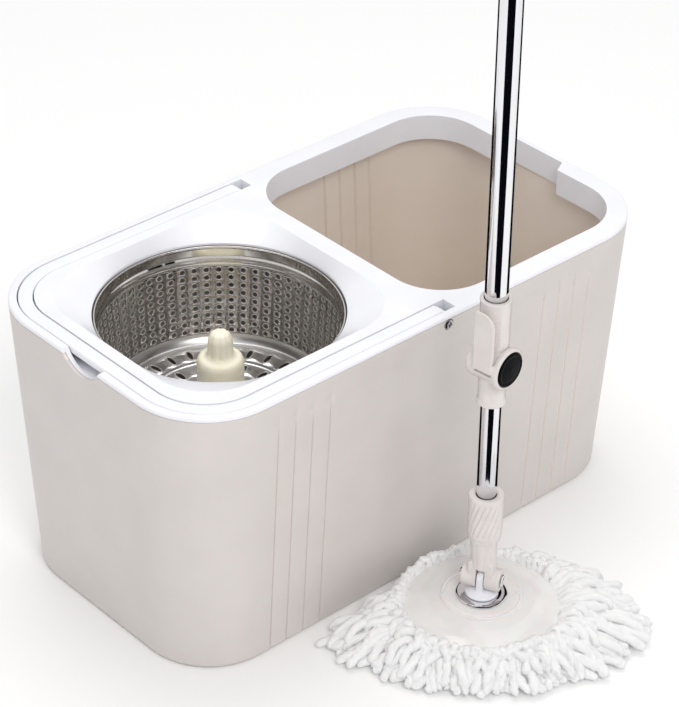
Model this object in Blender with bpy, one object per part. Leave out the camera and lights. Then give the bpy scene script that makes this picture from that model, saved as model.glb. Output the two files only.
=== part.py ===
"""Spin mop set: a two-compartment bucket with a spinning basket, and a hand-press mop standing beside it.

Metres, +Z up. The origin is the centre of the bucket's base, on the floor. X runs along the bucket, with the
basket at -X and the rinse compartment at +X. The mop stands on the floor at -Y.
"""

import bpy
import bmesh
from math import cos, pi, radians, sin
from mathutils import Matrix, Vector

# Driving sizes: bucket.
BUCKET_LENGTH = 0.470
BUCKET_WIDTH = 0.258
BUCKET_HEIGHT = 0.237
BASE_LENGTH = 0.4486
BASE_WIDTH = 0.2322
TOP_CORNER = 0.0636
BASE_CORNER = 0.0573
WALL = 0.0025
FLOOR = 0.0040
GAP = 0.0003
LIP = 0.0030
SKIRT_DEPTH = 0.022
SKIRT_INSET = WALL + GAP
TOP = BUCKET_HEIGHT

# Rinse opening and the basket opening in the top frame.
RINSE_MIN_X = 0.0106
RINSE_MAX_X = 0.2182
RINSE_HALF_WIDTH = 0.1112
RINSE_CORNER = 0.0446
SPOUT_MAX_X = 0.2296
SPOUT_HALF_WIDTH = 0.0255
SPOUT_TAPER = 0.0070
BASKET_X = -0.1055
DISH_HALF = 0.1003
DISH_CORNER = 0.048
DISH_RADIUS = 0.0946
DISH_DEPTH = 0.0109
COLLAR_RADIUS = 0.0975

# Carry handle: a flush strip round the basket end, with a lug at each end.
HANDLE_OUTER = 0.0074
HANDLE_INNER = 0.0184
HANDLE_THICKNESS = 0.0055
HANDLE_END_X = 0.0066
PIVOT_X = 0.0060
PIVOT_Z = 0.2292
LUG_RADIUS = 0.0070
SCREW_HEAD_RADIUS = 0.0039
NOTCH_END_X = 0.0180
SCOOP_HALF_WIDTH = 0.0215
SCOOP_DEPTH = 0.0130

# Basket and its bearings.
RIM_Z = 0.2245
BASKET_FLOOR_Z = 0.1402
SHEET = 0.0012
SHAFT_RADIUS = 0.0040
BUSH_OUTER = 0.0080
PEDESTAL_TOP = 0.1120
HUB_BOTTOM = 0.1146
SPINDLE_SHOULDER_Z = 0.1850
SPINDLE_TOP_Z = 0.2070
POST_RADIUS = 0.0100
SPINDLE_RADIUS = 0.0180
FLANGE_RADIUS = 0.0310
DRAIN_Y = 0.0300
DRAIN_Z = 0.1095
FOOT_RADIUS = 0.0095
FOOT_HEIGHT = 0.0018

# Mop: its axis, and heights above the floor.
MOP_X = -0.0185
MOP_Y = -0.1990
FRINGE_HALF_WIDTH = 0.129
FRINGE_HALF_DEPTH = 0.084
FRINGE_WALL_Y = -0.1305
PLATE_RADIUS = 0.064
PIN_Z = 0.0490
PIN_ANGLE = radians(-63)
LOCK_Z = 0.2430
LOCK_ANGLE = radians(-84)
LOWER_TUBE_RADIUS = 0.0076
UPPER_TUBE_RADIUS = 0.0085
TUBE_WALL = 0.0006
LOWER_TUBE_TOP = 0.600
EXPOSED_TUBE_TOP = 0.2077
UPPER_TUBE_TOP = 0.965
SLEEVE_BOTTOM = 0.2090
SLEEVE_TOP = 0.2975
BARREL_RADIUS = 0.01475
BARREL_END = 0.0145
EAR_END = 0.0150
TWIST_LEAD = 0.100
STRIP_WIDTH = 0.009
STRIP_THICKNESS = 0.002
STRIP_BOTTOM = 0.360
STRIP_TOP = 0.800

ROUND = 48
MEDIUM = 24
SMALL = 16
CORNER_STEPS = 6


# Scene and materials.

def clear_scene():
    for obj in list(bpy.data.objects):
        bpy.data.objects.remove(obj)


def material(name, color, roughness, metallic=0.0):
    made = bpy.data.materials.new(name)
    made.use_nodes = True
    shader = made.node_tree.nodes["Principled BSDF"]
    shader.inputs["Base Color"].default_value = (*color, 1.0)
    shader.inputs["Roughness"].default_value = roughness
    shader.inputs["Metallic"].default_value = metallic
    return made


clear_scene()
SHELL_PLASTIC = material("shell_plastic", (0.72, 0.66, 0.62), 0.45)
WHITE_PLASTIC = material("white_plastic", (0.86, 0.86, 0.88), 0.35)
MOP_PLASTIC = material("mop_plastic", (0.80, 0.76, 0.73), 0.40)
IVORY_PLASTIC = material("ivory_plastic", (0.90, 0.86, 0.72), 0.45)
BLACK_PLASTIC = material("black_plastic", (0.02, 0.02, 0.02), 0.12)
GREY_PLASTIC = material("grey_plastic", (0.45, 0.45, 0.46), 0.50)
STAINLESS = material("stainless", (0.72, 0.70, 0.68), 0.18, 1.0)
CHROME = material("chrome", (0.85, 0.85, 0.86), 0.08, 1.0)
STEEL = material("steel", (0.60, 0.60, 0.61), 0.30, 1.0)
BRONZE = material("bronze", (0.60, 0.42, 0.22), 0.35, 1.0)
RUBBER = material("rubber", (0.12, 0.12, 0.12), 0.80)
FRINGE_YARN = material("fringe_yarn", (0.95, 0.95, 0.95), 0.95)


def frame_at(name, location, angle=0.0, parent=None):
    """An empty that holds the pieces of one moving assembly, on that assembly's joint axis."""
    empty = bpy.data.objects.new(name, None)
    bpy.context.scene.collection.objects.link(empty)
    empty.location = location
    empty.rotation_euler = (0, 0, angle)
    empty.parent = parent
    return empty


# Mesh builders. Each returns an object whose mesh is one closed body.

def finished(name, mesh_data, look, parent=None, lift=0.0):
    bmesh.ops.recalc_face_normals(mesh_data, faces=mesh_data.faces)
    mesh = bpy.data.meshes.new(name)
    mesh_data.to_mesh(mesh)
    mesh_data.free()
    mesh.materials.append(look)
    mesh.shade_smooth()
    mesh.set_sharp_from_angle(angle=radians(35))
    obj = bpy.data.objects.new(name, mesh)
    bpy.context.scene.collection.objects.link(obj)
    obj.parent = parent
    obj.location = (0, 0, lift)
    return obj


def lathe(name, profile, look, parent=None, lift=0.0, steps=MEDIUM, along_x=False, centre=(0.0, 0.0, 0.0)):
    """Turns a closed profile of (radius, height) points round Z, or round X when along_x is set."""
    bm = bmesh.new()
    points = [bm.verts.new((radius, 0, height)) for radius, height in profile]
    edges = [bm.edges.new((a, b)) for a, b in zip(points, points[1:])]
    if profile[0][0] > 0:
        edges.append(bm.edges.new((points[-1], points[0])))
    bmesh.ops.spin(bm, geom=points + edges, cent=(0, 0, 0), axis=(0, 0, 1), angle=2 * pi, steps=steps,
                   use_merge=True)
    bmesh.ops.remove_doubles(bm, verts=bm.verts, dist=1e-6)
    if along_x:
        bmesh.ops.transform(bm, matrix=Matrix.Rotation(pi / 2, 4, "Y"), verts=bm.verts)
    bmesh.ops.translate(bm, vec=centre, verts=bm.verts)
    return finished(name, bm, look, parent, lift)


def tube(name, outer, inner, bottom, top, look, parent=None, lift=0.0, steps=MEDIUM):
    profile = [(outer, bottom), (outer, top), (inner, top), (inner, bottom)]
    return lathe(name, profile, look, parent, lift, steps)


def rod(name, radius, bottom, top, look, parent=None, lift=0.0, steps=SMALL, along_x=False,
        centre=(0.0, 0.0, 0.0)):
    profile = [(0, bottom), (radius, bottom), (radius, top), (0, top)]
    return lathe(name, profile, look, parent, lift, steps, along_x, centre)


def loft(name, rings, look, parent=None, lift=0.0, loop=False):
    """Skins rings of equally many 3-D points, capped at both ends or closed into a loop."""
    bm = bmesh.new()
    made = [[bm.verts.new(point) for point in ring] for ring in rings]
    pairs = list(zip(made, made[1:]))
    if loop:
        pairs.append((made[-1], made[0]))
    for low, high in pairs:
        for i in range(len(low)):
            j = (i + 1) % len(low)
            bm.faces.new((low[i], low[j], high[j], high[i]))
    if not loop:
        bm.faces.new(made[0])
        bm.faces.new(made[-1])
    return finished(name, bm, look, parent, lift)


def prism(name, outline, axis, low, high, look, parent=None, lift=0.0):
    """Extrudes a flat outline along X, Y or Z. The outline's two numbers are the other two axes, in order."""
    def place(pair, along):
        coordinates = list(pair)
        coordinates.insert("XYZ".index(axis), along)
        return coordinates
    rings = [[place(pair, along) for pair in outline] for along in (low, high)]
    return loft(name, rings, look, parent, lift)


def box(name, low, high, look, parent=None, lift=0.0):
    outline = [(low[0], low[1]), (high[0], low[1]), (high[0], high[1]), (low[0], high[1])]
    return prism(name, outline, "Z", low[2], high[2], look, parent, lift)


def boolean(target, tool, operation):
    """Cuts or joins a helper object into the target, and keeps the helper out of renders."""
    tool.hide_render = True
    tool.display_type = "WIRE"
    modifier = target.modifiers.new(tool.name, "BOOLEAN")
    modifier.operation = operation
    modifier.object = tool
    modifier.solver = "EXACT"


def cut(target, *tools):
    for tool in tools:
        boolean(target, tool, "DIFFERENCE")


def join(target, *tools):
    for tool in tools:
        boolean(target, tool, "UNION")


# Outlines.

def arc(centre, radius, start, end, steps):
    angles = [start + (end - start) * i / steps for i in range(steps + 1)]
    return [(centre[0] + radius * cos(a), centre[1] + radius * sin(a)) for a in angles]


def rounded_rectangle(low, high, radius):
    corners = (
        ((high[0] - radius, high[1] - radius), 0),
        ((low[0] + radius, high[1] - radius), pi / 2),
        ((low[0] + radius, low[1] + radius), pi),
        ((high[0] - radius, low[1] + radius), 3 * pi / 2),
    )
    outline = []
    for centre, start in corners:
        outline += arc(centre, radius, start, start + pi / 2, CORNER_STEPS)
    return outline


def bucket_ring(height, inset):
    """The bucket's outer outline at a height, pulled in by an inset, as 3-D points."""
    share = height / BUCKET_HEIGHT
    half_x = (BASE_LENGTH + (BUCKET_LENGTH - BASE_LENGTH) * share) / 2 - inset
    half_y = (BASE_WIDTH + (BUCKET_WIDTH - BASE_WIDTH) * share) / 2 - inset
    corner = BASE_CORNER + (TOP_CORNER - BASE_CORNER) * share - inset
    return [(x, y, height) for x, y in rounded_rectangle((-half_x, -half_y), (half_x, half_y), corner)]


def wall_y(height):
    """Distance from the centre plane to the outside of a long wall."""
    return (BASE_WIDTH + (BUCKET_WIDTH - BASE_WIDTH) * height / BUCKET_HEIGHT) / 2


def wall_x(height):
    """Distance from the centre plane to the outside of an end wall."""
    return (BASE_LENGTH + (BUCKET_LENGTH - BASE_LENGTH) * height / BUCKET_HEIGHT) / 2


def u_line(inset, end_x):
    """An open line round the basket end, a constant inset from the bucket's top edge."""
    half_x = BUCKET_LENGTH / 2 - inset
    half_y = BUCKET_WIDTH / 2 - inset
    radius = TOP_CORNER - inset
    near = arc((radius - half_x, radius - half_y), radius, 3 * pi / 2, pi, CORNER_STEPS)
    far = arc((radius - half_x, half_y - radius), radius, pi, pi / 2, CORNER_STEPS)
    return [(end_x, -half_y)] + near + far + [(end_x, half_y)]


def u_strip(name, outer, inner, end_x, low, high, look, parent=None, lift=0.0):
    outline = u_line(outer, end_x) + u_line(inner, end_x)[::-1]
    return prism(name, outline, "Z", low, high, look, parent, lift)


def cross_rod(name, radius, x, z, low_y, high_y, look=STEEL, parent=None, lift=0.0):
    """A cylinder along Y."""
    outline = arc((x, z), radius, 0, 2 * pi * (1 - 1 / SMALL), SMALL - 1)
    return prism(name, outline, "Y", low_y, high_y, look, parent, lift)


# Bucket.

def bucket_shell():
    shell_top = TOP - LIP - GAP
    rings = [bucket_ring(0, 0.003), bucket_ring(0.001, 0.001), bucket_ring(0.003, 0)]
    rings += [bucket_ring(shell_top, 0), bucket_ring(shell_top, WALL)]
    rings += [bucket_ring(FLOOR + 0.004, WALL), bucket_ring(FLOOR, WALL + 0.004)]
    shell = loft("bucket_shell", rings, SHELL_PLASTIC)
    for index, (x, y) in enumerate(foot_places()):
        cut(shell, rod(f"foot_recess_{index}", FOOT_RADIUS + GAP, -0.001, FOOT_HEIGHT + GAP, SHELL_PLASTIC,
                       centre=(x, y, 0)))
    bore = cross_rod("shell_screw_bore", 0.0026, PIVOT_X, PIVOT_Z, -BUCKET_WIDTH, BUCKET_WIDTH)
    cut(shell, bore, scoop_cutter("shell_scoop", GAP))
    for side in (-1, 1):
        face = side * (wall_y(PIVOT_Z) - 0.0012)
        low, high = sorted((face, side * BUCKET_WIDTH))
        cut(shell, cross_rod(f"shell_counterbore_{side}", SCREW_HEAD_RADIUS + 0.0004, PIVOT_X, PIVOT_Z, low, high))
    drain = rod("shell_drain_bore", 0.0065, 0.20, 0.25, SHELL_PLASTIC, along_x=True, centre=(0, DRAIN_Y, DRAIN_Z))
    cut(shell, drain)
    return shell


def foot_places():
    return [(x, y) for x in (-0.170, 0.170) for y in (-0.065, 0.065)]


def rubber_feet():
    names = ("foot_pad_1", "foot_pad_2", "foot_pad_3", "foot_pad_4")
    for name, (x, y) in zip(names, foot_places()):
        rod(name, FOOT_RADIUS, 0, FOOT_HEIGHT, RUBBER, centre=(x, y, 0))


def divider_panel():
    """A wall across the bucket that keeps clean water from dirty water."""
    low = FLOOR + GAP
    high = TOP - SKIRT_DEPTH - 0.002
    bottom_half = wall_y(low) - WALL - 0.0045
    top_half = wall_y(high) - WALL - 0.0006
    bend = wall_y(0.012) - WALL - 0.0006
    outline = [(-bottom_half, low), (bottom_half, low), (bend, 0.012), (top_half, high), (-top_half, high),
               (-bend, 0.012)]
    prism("divider_panel", outline, "X", 0.0004, 0.0029, SHELL_PLASTIC)


def scoop_cutter(name, extra):
    """The finger scoop under the middle of the handle, at the basket end."""
    radius = (SCOOP_HALF_WIDTH**2 + SCOOP_DEPTH**2) / (2 * SCOOP_DEPTH)
    outline = arc((0, TOP - SCOOP_DEPTH + radius), radius + extra, 0, 2 * pi * (1 - 1 / MEDIUM), MEDIUM - 1)
    return prism(name, outline, "X", -BUCKET_LENGTH, HANDLE_INNER + 0.0005 - BUCKET_LENGTH / 2, SHELL_PLASTIC)


def underside_pocket():
    """The hollow under the frame, between its skirt and the collars round the two openings."""
    low = TOP - 0.040
    high = TOP - 0.0136
    inset = SKIRT_INSET + 0.0027
    pocket = loft("frame_pocket", [bucket_ring(z, inset) for z in (low, high)], WHITE_PLASTIC)
    rinse_wall = prism("pocket_rinse_wall", rounded_rectangle(
        (RINSE_MIN_X - WALL, -RINSE_HALF_WIDTH - WALL), (SPOUT_MAX_X, RINSE_HALF_WIDTH + WALL),
        RINSE_CORNER), "Z", low - 0.01, high + 0.01, WHITE_PLASTIC)
    basket_wall = rod("pocket_basket_wall", COLLAR_RADIUS + WALL, low - 0.01, high + 0.01, WHITE_PLASTIC,
                      steps=ROUND, centre=(BASKET_X, 0, 0))
    scoop_wall = box("pocket_scoop_wall", (-0.25, -0.030, low - 0.01), (-0.205, 0.030, high + 0.01), WHITE_PLASTIC)
    cut(pocket, rinse_wall, basket_wall, scoop_wall)
    for side in (-1, 1):
        ys = sorted((side * 0.104, side * 0.140))
        cut(pocket, box(f"pocket_lug_wall_{side}", (-0.014, ys[0], low - 0.01), (0.024, ys[1], high + 0.01),
                        WHITE_PLASTIC))
    return pocket


def dish_cutter():
    """From a rounded square at the top of the frame down to the round basket opening."""
    steps = ROUND

    def square_radius(angle):
        straight = DISH_HALF - DISH_CORNER
        along, across = sorted((abs(cos(angle)), abs(sin(angle))), reverse=True)
        if DISH_HALF * across / along <= straight:
            return DISH_HALF / along
        lean = straight * (along + across)
        return lean + (lean**2 - 2 * straight**2 + DISH_CORNER**2) ** 0.5

    def ring(height, blend):
        points = []
        for i in range(steps):
            angle = 2 * pi * i / steps
            radius = DISH_RADIUS + (square_radius(angle) - DISH_RADIUS) * blend
            points.append((BASKET_X + radius * cos(angle), radius * sin(angle), height))
        return points

    rings = [ring(TOP - 0.0130, 0), ring(TOP - DISH_DEPTH, 0), ring(TOP - 0.0060, 0.42), ring(TOP - 0.0018, 0.82)]
    rings += [ring(TOP, 1), ring(TOP + 0.004, 1)]
    return loft("dish_cutter", rings, WHITE_PLASTIC)


def spout_cutter():
    half = SPOUT_HALF_WIDTH
    outline = [(RINSE_MAX_X - 0.002, -half - SPOUT_TAPER), (SPOUT_MAX_X, -half), (SPOUT_MAX_X, half),
               (RINSE_MAX_X - 0.002, half + SPOUT_TAPER)]
    return prism("spout_cutter", outline, "Z", TOP - 0.05, TOP + 0.01, WHITE_PLASTIC)


def top_frame():
    low = TOP - SKIRT_DEPTH
    rings = [bucket_ring(low, SKIRT_INSET), bucket_ring(TOP - LIP, SKIRT_INSET), bucket_ring(TOP - LIP, 0)]
    rings += [bucket_ring(TOP - 0.0008, 0), bucket_ring(TOP, 0.0008)]
    frame = loft("top_frame", rings, WHITE_PLASTIC)
    rinse = prism("rinse_cutter", rounded_rectangle(
        (RINSE_MIN_X, -RINSE_HALF_WIDTH), (RINSE_MAX_X, RINSE_HALF_WIDTH), RINSE_CORNER),
        "Z", TOP - 0.05, TOP + 0.01, WHITE_PLASTIC)
    well = rod("well_cutter", COLLAR_RADIUS, TOP - 0.05, TOP - 0.0125, WHITE_PLASTIC, steps=ROUND,
               centre=(BASKET_X, 0, 0))
    channel = u_strip("channel_cutter", HANDLE_OUTER - 0.0005, HANDLE_INNER + 0.0005, NOTCH_END_X,
                      TOP - HANDLE_THICKNESS - GAP, TOP + 0.01, WHITE_PLASTIC)
    cut(frame, underside_pocket(), rinse, well, dish_cutter(), spout_cutter(), channel)
    for side in (-1, 1):
        half = BUCKET_WIDTH / 2
        ys = sorted((side * (half - HANDLE_OUTER + 0.0005), side * (half - HANDLE_INNER - 0.0005)))
        pocket = box(f"lug_cutter_{side}", (PIVOT_X - 0.0145, ys[0], PIVOT_Z - LUG_RADIUS - 0.0006),
                     (NOTCH_END_X, ys[1], TOP + 0.01), WHITE_PLASTIC)
        ys = sorted((side * (half - HANDLE_OUTER), side * half))
        cut(frame, pocket, cross_rod(f"frame_screw_bore_{side}", 0.0026, PIVOT_X, PIVOT_Z, *ys))
    cut(frame, scoop_cutter("frame_scoop", 0))
    return frame


def carry_handle():
    """Flat strip, with a round lug at each end that turns on the screws."""
    pivot = frame_at("handle_pivot", (PIVOT_X, 0, PIVOT_Z))
    rise = TOP - PIVOT_Z
    outline = u_line(HANDLE_OUTER, HANDLE_END_X) + u_line(HANDLE_INNER, HANDLE_END_X)[::-1]
    local = [(x - PIVOT_X, y) for x, y in outline]
    handle = prism("carry_handle", local, "Z", rise - HANDLE_THICKNESS, rise, WHITE_PLASTIC, pivot)
    for side in (-1, 1):
        half = BUCKET_WIDTH / 2
        ys = sorted((side * (half - HANDLE_OUTER - 0.0002), side * (half - HANDLE_INNER + 0.0002)))
        join(handle, cross_rod(f"handle_lug_{side}", LUG_RADIUS, 0, 0, *ys, WHITE_PLASTIC, pivot))
    for side in (-1, 1):
        half = BUCKET_WIDTH / 2
        ys = sorted((side * half, side * (half - HANDLE_OUTER - 0.008)))
        cut(handle, cross_rod(f"handle_bore_{side}", 0.0023, 0, 0, *ys, WHITE_PLASTIC, pivot))
    return handle


def handle_screws():
    face = wall_y(PIVOT_Z) - 0.0012 + GAP
    for name, side in (("handle_screw_near", -1), ("handle_screw_far", 1)):
        head = sorted((side * face, side * (face + 0.0022)))
        shank = sorted((side * (face + 0.0001), side * (BUCKET_WIDTH / 2 - HANDLE_OUTER - 0.0070)))
        screw = cross_rod(name, SCREW_HEAD_RADIUS, PIVOT_X, PIVOT_Z, *head, STEEL)
        join(screw, cross_rod(f"{name}_shank", 0.0019, PIVOT_X, PIVOT_Z, *shank))


def drain_plug():
    """A push-in plug with a rubber seal in the rinse compartment's end wall."""
    place = (0, DRAIN_Y, DRAIN_Z)
    inside = wall_x(DRAIN_Z) - WALL
    lathe("drain_seal", [(0.0105, inside - 0.0024), (0.0105, inside - 0.0007), (0.0068, inside - 0.0007),
                         (0.0068, inside - 0.0024)], RUBBER, steps=24, along_x=True, centre=place)
    lathe("drain_plug", [(0, inside - 0.0058), (0.0070, inside - 0.0058), (0.0084, inside - 0.0046),
                         (0.0084, inside - 0.0027), (0.0061, inside - 0.0027), (0.0061, inside + WALL),
                         (0, inside + WALL)], CHROME, steps=24, along_x=True, centre=place)


# Basket and spindle. Heights are above the floor, and the axis is the basket's own.

def spindle_support():
    axis = frame_at("spindle_support", (BASKET_X, 0, 0))
    low = FLOOR + GAP
    bore = SHAFT_RADIUS + GAP
    pedestal = [(0, low), (0.044, low), (0.044, low + 0.003), (0.026, low + 0.005), (0.016, PEDESTAL_TOP),
                (bore, PEDESTAL_TOP), (bore, 0.060), (0, 0.060)]
    lathe("pedestal", pedestal, GREY_PLASTIC, axis)
    rod("spindle_shaft", SHAFT_RADIUS, 0.060 + GAP, 0.190, STEEL, axis)
    tube("thrust_washer", 0.012, bore, PEDESTAL_TOP + GAP, HUB_BOTTOM - GAP, STEEL, axis, steps=24)
    tube("retaining_clip", 0.0068, bore, 0.1872, 0.1884, STEEL, axis, steps=16)


def basket():
    axis = frame_at("basket_axis", (BASKET_X, 0, 0))
    low = BASKET_FLOOR_Z
    outside = [(0.0190, low), (0.0828, low), (0.0862, low + 0.0030), (0.0876, 0.1490), (0.0916, 0.2080),
               (0.0930, 0.2098), (0.0930, 0.2126), (0.0918, 0.2144), (0.0934, 0.2166), (0.0938, RIM_Z)]
    inside = [(0.0924, RIM_Z), (0.0922, 0.2168), (0.0904, 0.2144), (0.0904, 0.2080), (0.0864, 0.1490),
              (0.0850, low + 0.0034), (0.0822, low + SHEET), (0.0190, low + SHEET)]
    lathe("basket_drum", outside + inside, STAINLESS, axis, steps=ROUND)
    hub = HUB_BOTTOM
    lathe("hub_lower", [(0.018, hub), (0.030, low - 0.008), (0.030, low - GAP), (BUSH_OUTER + GAP, low - GAP),
                        (BUSH_OUTER + GAP, hub)], GREY_PLASTIC, axis)
    flange_low = low + SHEET + GAP
    flange = tube("hub_flange", FLANGE_RADIUS, SPINDLE_RADIUS + GAP, flange_low, 0.1476, WHITE_PLASTIC, axis)
    for index in range(3):
        angle = 2 * pi * index / 3 + pi / 6
        x = 0.0248 * cos(angle)
        y = 0.0248 * sin(angle)
        cut(flange, rod(f"flange_screw_bore_{index}", 0.0033, 0.1456, 0.16, WHITE_PLASTIC, axis, steps=12,
                        centre=(x, y, 0)))
        rod(f"hub_screw_{index + 1}", 0.0029, 0.1459, 0.1482, STEEL, axis, steps=12, centre=(x, y, 0))
    bore = BUSH_OUTER + GAP
    spindle = [(SPINDLE_RADIUS, low), (SPINDLE_RADIUS, SPINDLE_SHOULDER_Z - 0.005),
               (SPINDLE_RADIUS - 0.0015, SPINDLE_SHOULDER_Z - 0.0015), (SPINDLE_RADIUS - 0.005, SPINDLE_SHOULDER_Z),
               (POST_RADIUS, SPINDLE_SHOULDER_Z + 0.001), (POST_RADIUS - 0.001, SPINDLE_TOP_Z - 0.005),
               (POST_RADIUS - 0.004, SPINDLE_TOP_Z - 0.0012), (0, SPINDLE_TOP_Z), (0, 0.1925), (bore, 0.1925),
               (bore, low)]
    lathe("drive_spindle", spindle, IVORY_PLASTIC, axis)
    tube("lower_bush", BUSH_OUTER, SHAFT_RADIUS + GAP, hub + 0.0005, 0.1290, BRONZE, axis, steps=24)
    tube("upper_bush", BUSH_OUTER, SHAFT_RADIUS + GAP, 0.1700, 0.1860, BRONZE, axis, steps=24)


# Mop head. Heights are above the floor.

def fringe_reach(angle):
    """Radius of the fringe's footprint in a world direction. It is squashed flat beside the bucket."""
    turned = angle - radians(-42)
    ellipse = 1 / ((cos(turned) / FRINGE_HALF_WIDTH) ** 2 + (sin(turned) / FRINGE_HALF_DEPTH) ** 2) ** 0.5
    if sin(angle) <= 0:
        return ellipse
    return min(ellipse, (FRINGE_WALL_Y - MOP_Y) / sin(angle))


def mop_fringe(parent):
    steps = ROUND

    def ring(height, reach, fixed):
        points = []
        for i in range(steps):
            angle = 2 * pi * i / steps
            radius = fixed + reach * (fringe_reach(angle) - fixed)
            points.append((radius * cos(angle), radius * sin(angle), height))
        return points

    recess = PLATE_RADIUS + 0.0012
    rings = [ring(0, 0, 0.026), ring(0, 0.90, recess), ring(0.004, 1, recess), ring(0.013, 0.93, recess)]
    rings += [ring(0.024, 0.55, recess), ring(0.0265, 0.10, recess), ring(0.0255, 0, recess)]
    rings += [ring(0.0140, 0, recess), ring(0.0140, 0, 0.026)]
    loft("mop_fringe", rings, FRINGE_YARN, parent, loop=True)


def mop_head(parent):
    mop_fringe(parent)
    tube("fringe_ring", 0.056, 0.030, 0.0143, 0.0188, WHITE_PLASTIC, parent)
    plate = [(0.0042, 0.0330), (0.0295, 0.0330), (0.0305, 0.0305), (0.045, 0.0285), (0.058, 0.0240),
             (PLATE_RADIUS, 0.0212), (PLATE_RADIUS, 0.0195), (0.0573, 0.0217), (0.044, 0.0262), (0.0150, 0.0290),
             (0.0150, 0.0060), (0.0108, 0.0060), (0.0108, 0.0292), (0.0042, 0.0292)]
    lathe("mop_plate", plate, WHITE_PLASTIC, parent, steps=40)
    tube("plate_washer", 0.0196, 0.0042, 0.0333, 0.0348, CHROME, parent)
    tongue = prism("tongue", arc((0, PIN_Z), 0.0070, 0, pi, 10) + [(-0.0070, 0.0352), (0.0070, 0.0352)], "X",
                   -0.00275, 0.00275, WHITE_PLASTIC, parent)
    tongue.rotation_euler = (0, 0, PIN_ANGLE)
    foot = lathe("tongue_foot", [(0, 0.0215), (0.0036, 0.0215), (0.0036, 0.0351), (0.0128, 0.0351),
                                 (0.0120, 0.0378), (0, 0.0378)], WHITE_PLASTIC, parent, steps=24)
    join(tongue, foot)
    bore = rod("tongue_bore", 0.0028, -0.01, 0.01, STEEL, parent, along_x=True, centre=(0, 0, PIN_Z))
    bore.rotation_euler = (0, 0, PIN_ANGLE)
    cut(tongue, bore)
    lathe("tongue_nut", [(0.0078, 0.0245), (0.0078, 0.0289), (0.0046, 0.0289), (0.0046, 0.0245)], STEEL, parent,
          steps=6)


# Lower pole. The parent empty is on the tilt axis, so every piece drops by the pin's height.

def fork(parent):
    drop = -PIN_Z
    body = box("fork", (-EAR_END, -0.0080, PIN_Z), (EAR_END, 0.0080, 0.0665), MOP_PLASTIC, parent, drop)
    ears = rod("fork_ears", 0.00875, 0.0001 - EAR_END, EAR_END - 0.0001, MOP_PLASTIC, parent, drop, MEDIUM, True,
               (0, 0, PIN_Z))
    socket = lathe("fork_socket", [(0, 0.060), (0.0086, 0.060), (0.0092, 0.066), (0.0100, 0.0860),
                                   (0.0072, 0.0860), (0.0072, 0.0975), (0, 0.0975)], MOP_PLASTIC, parent, drop, 24)
    join(body, ears, socket)
    slot = box("fork_slot", (-0.0031, -0.030, 0.030), (0.0031, 0.030, 0.0577), MOP_PLASTIC, parent, drop)
    bore = rod("fork_bore", 0.0028, -0.03, 0.03, STEEL, parent, drop, SMALL, True, (0, 0, PIN_Z))
    cut(body, slot, bore)


def twisted_strip(name, extra, bottom, top, look, parent, lift):
    """A flat strip twisted right-handed about its own axis, one turn in each lead."""
    half_width = STRIP_WIDTH / 2 + extra
    half_thickness = STRIP_THICKNESS / 2 + extra
    steps = round((top - bottom) / TWIST_LEAD * 24)
    rings = []
    for i in range(steps + 1):
        height = bottom + (top - bottom) * i / steps
        turn = Matrix.Rotation(2 * pi * height / TWIST_LEAD, 3, "Z")
        corners = [(half_width, half_thickness), (-half_width, half_thickness), (-half_width, -half_thickness),
                   (half_width, -half_thickness)]
        rings.append([turn @ Vector((x, y, height)) for x, y in corners])
    return loft(name, rings, look, parent, lift)


def lower_pole():
    pivot = frame_at("tilt_pivot", (MOP_X, MOP_Y, PIN_Z), PIN_ANGLE)
    drop = -PIN_Z
    fork(pivot)
    lathe("pivot_pin", [(0, -0.0172), (0.0036, -0.0172), (0.0036, -0.0153), (0.0025, -0.0153), (0.0025, 0.0153),
                        (0.0046, 0.0153), (0.0040, 0.0172), (0, 0.0172)], CHROME, pivot, drop, SMALL, True,
          (0, 0, PIN_Z))
    inner = LOWER_TUBE_RADIUS + GAP
    collar = [(0.0120, 0.0864), (0.0120, 0.0905), (0.0130, 0.0912), (0.0130, 0.1255), (0.0123, 0.1268),
              (inner, 0.1268), (inner, 0.0864)]
    lathe("grip_collar", collar, MOP_PLASTIC, pivot, drop)
    # One real tube in two lengths: the exposed one, and the one that slides inside the upper pole.
    bore = LOWER_TUBE_RADIUS - TUBE_WALL
    tube("lower_tube", LOWER_TUBE_RADIUS, bore, 0.0980, EXPOSED_TUBE_TOP, CHROME, pivot, drop)
    tube("inner_tube", LOWER_TUBE_RADIUS, bore, EXPOSED_TUBE_TOP + GAP, LOWER_TUBE_TOP, CHROME, pivot, drop)
    nut = rod("drive_nut", LOWER_TUBE_RADIUS - TUBE_WALL - GAP, LOWER_TUBE_TOP - 0.018, LOWER_TUBE_TOP - 0.001,
              GREY_PLASTIC, pivot, drop, 24)
    slot = twisted_strip("nut_slot", 0.0010, LOWER_TUBE_TOP - 0.025, LOWER_TUBE_TOP + 0.005, GREY_PLASTIC, pivot,
                         drop)
    slot.rotation_euler = (0, 0, -PIN_ANGLE)
    cut(nut, slot)


# Upper pole. Its empty and the lever's empty turn with the lock's barrel along local X.

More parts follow.
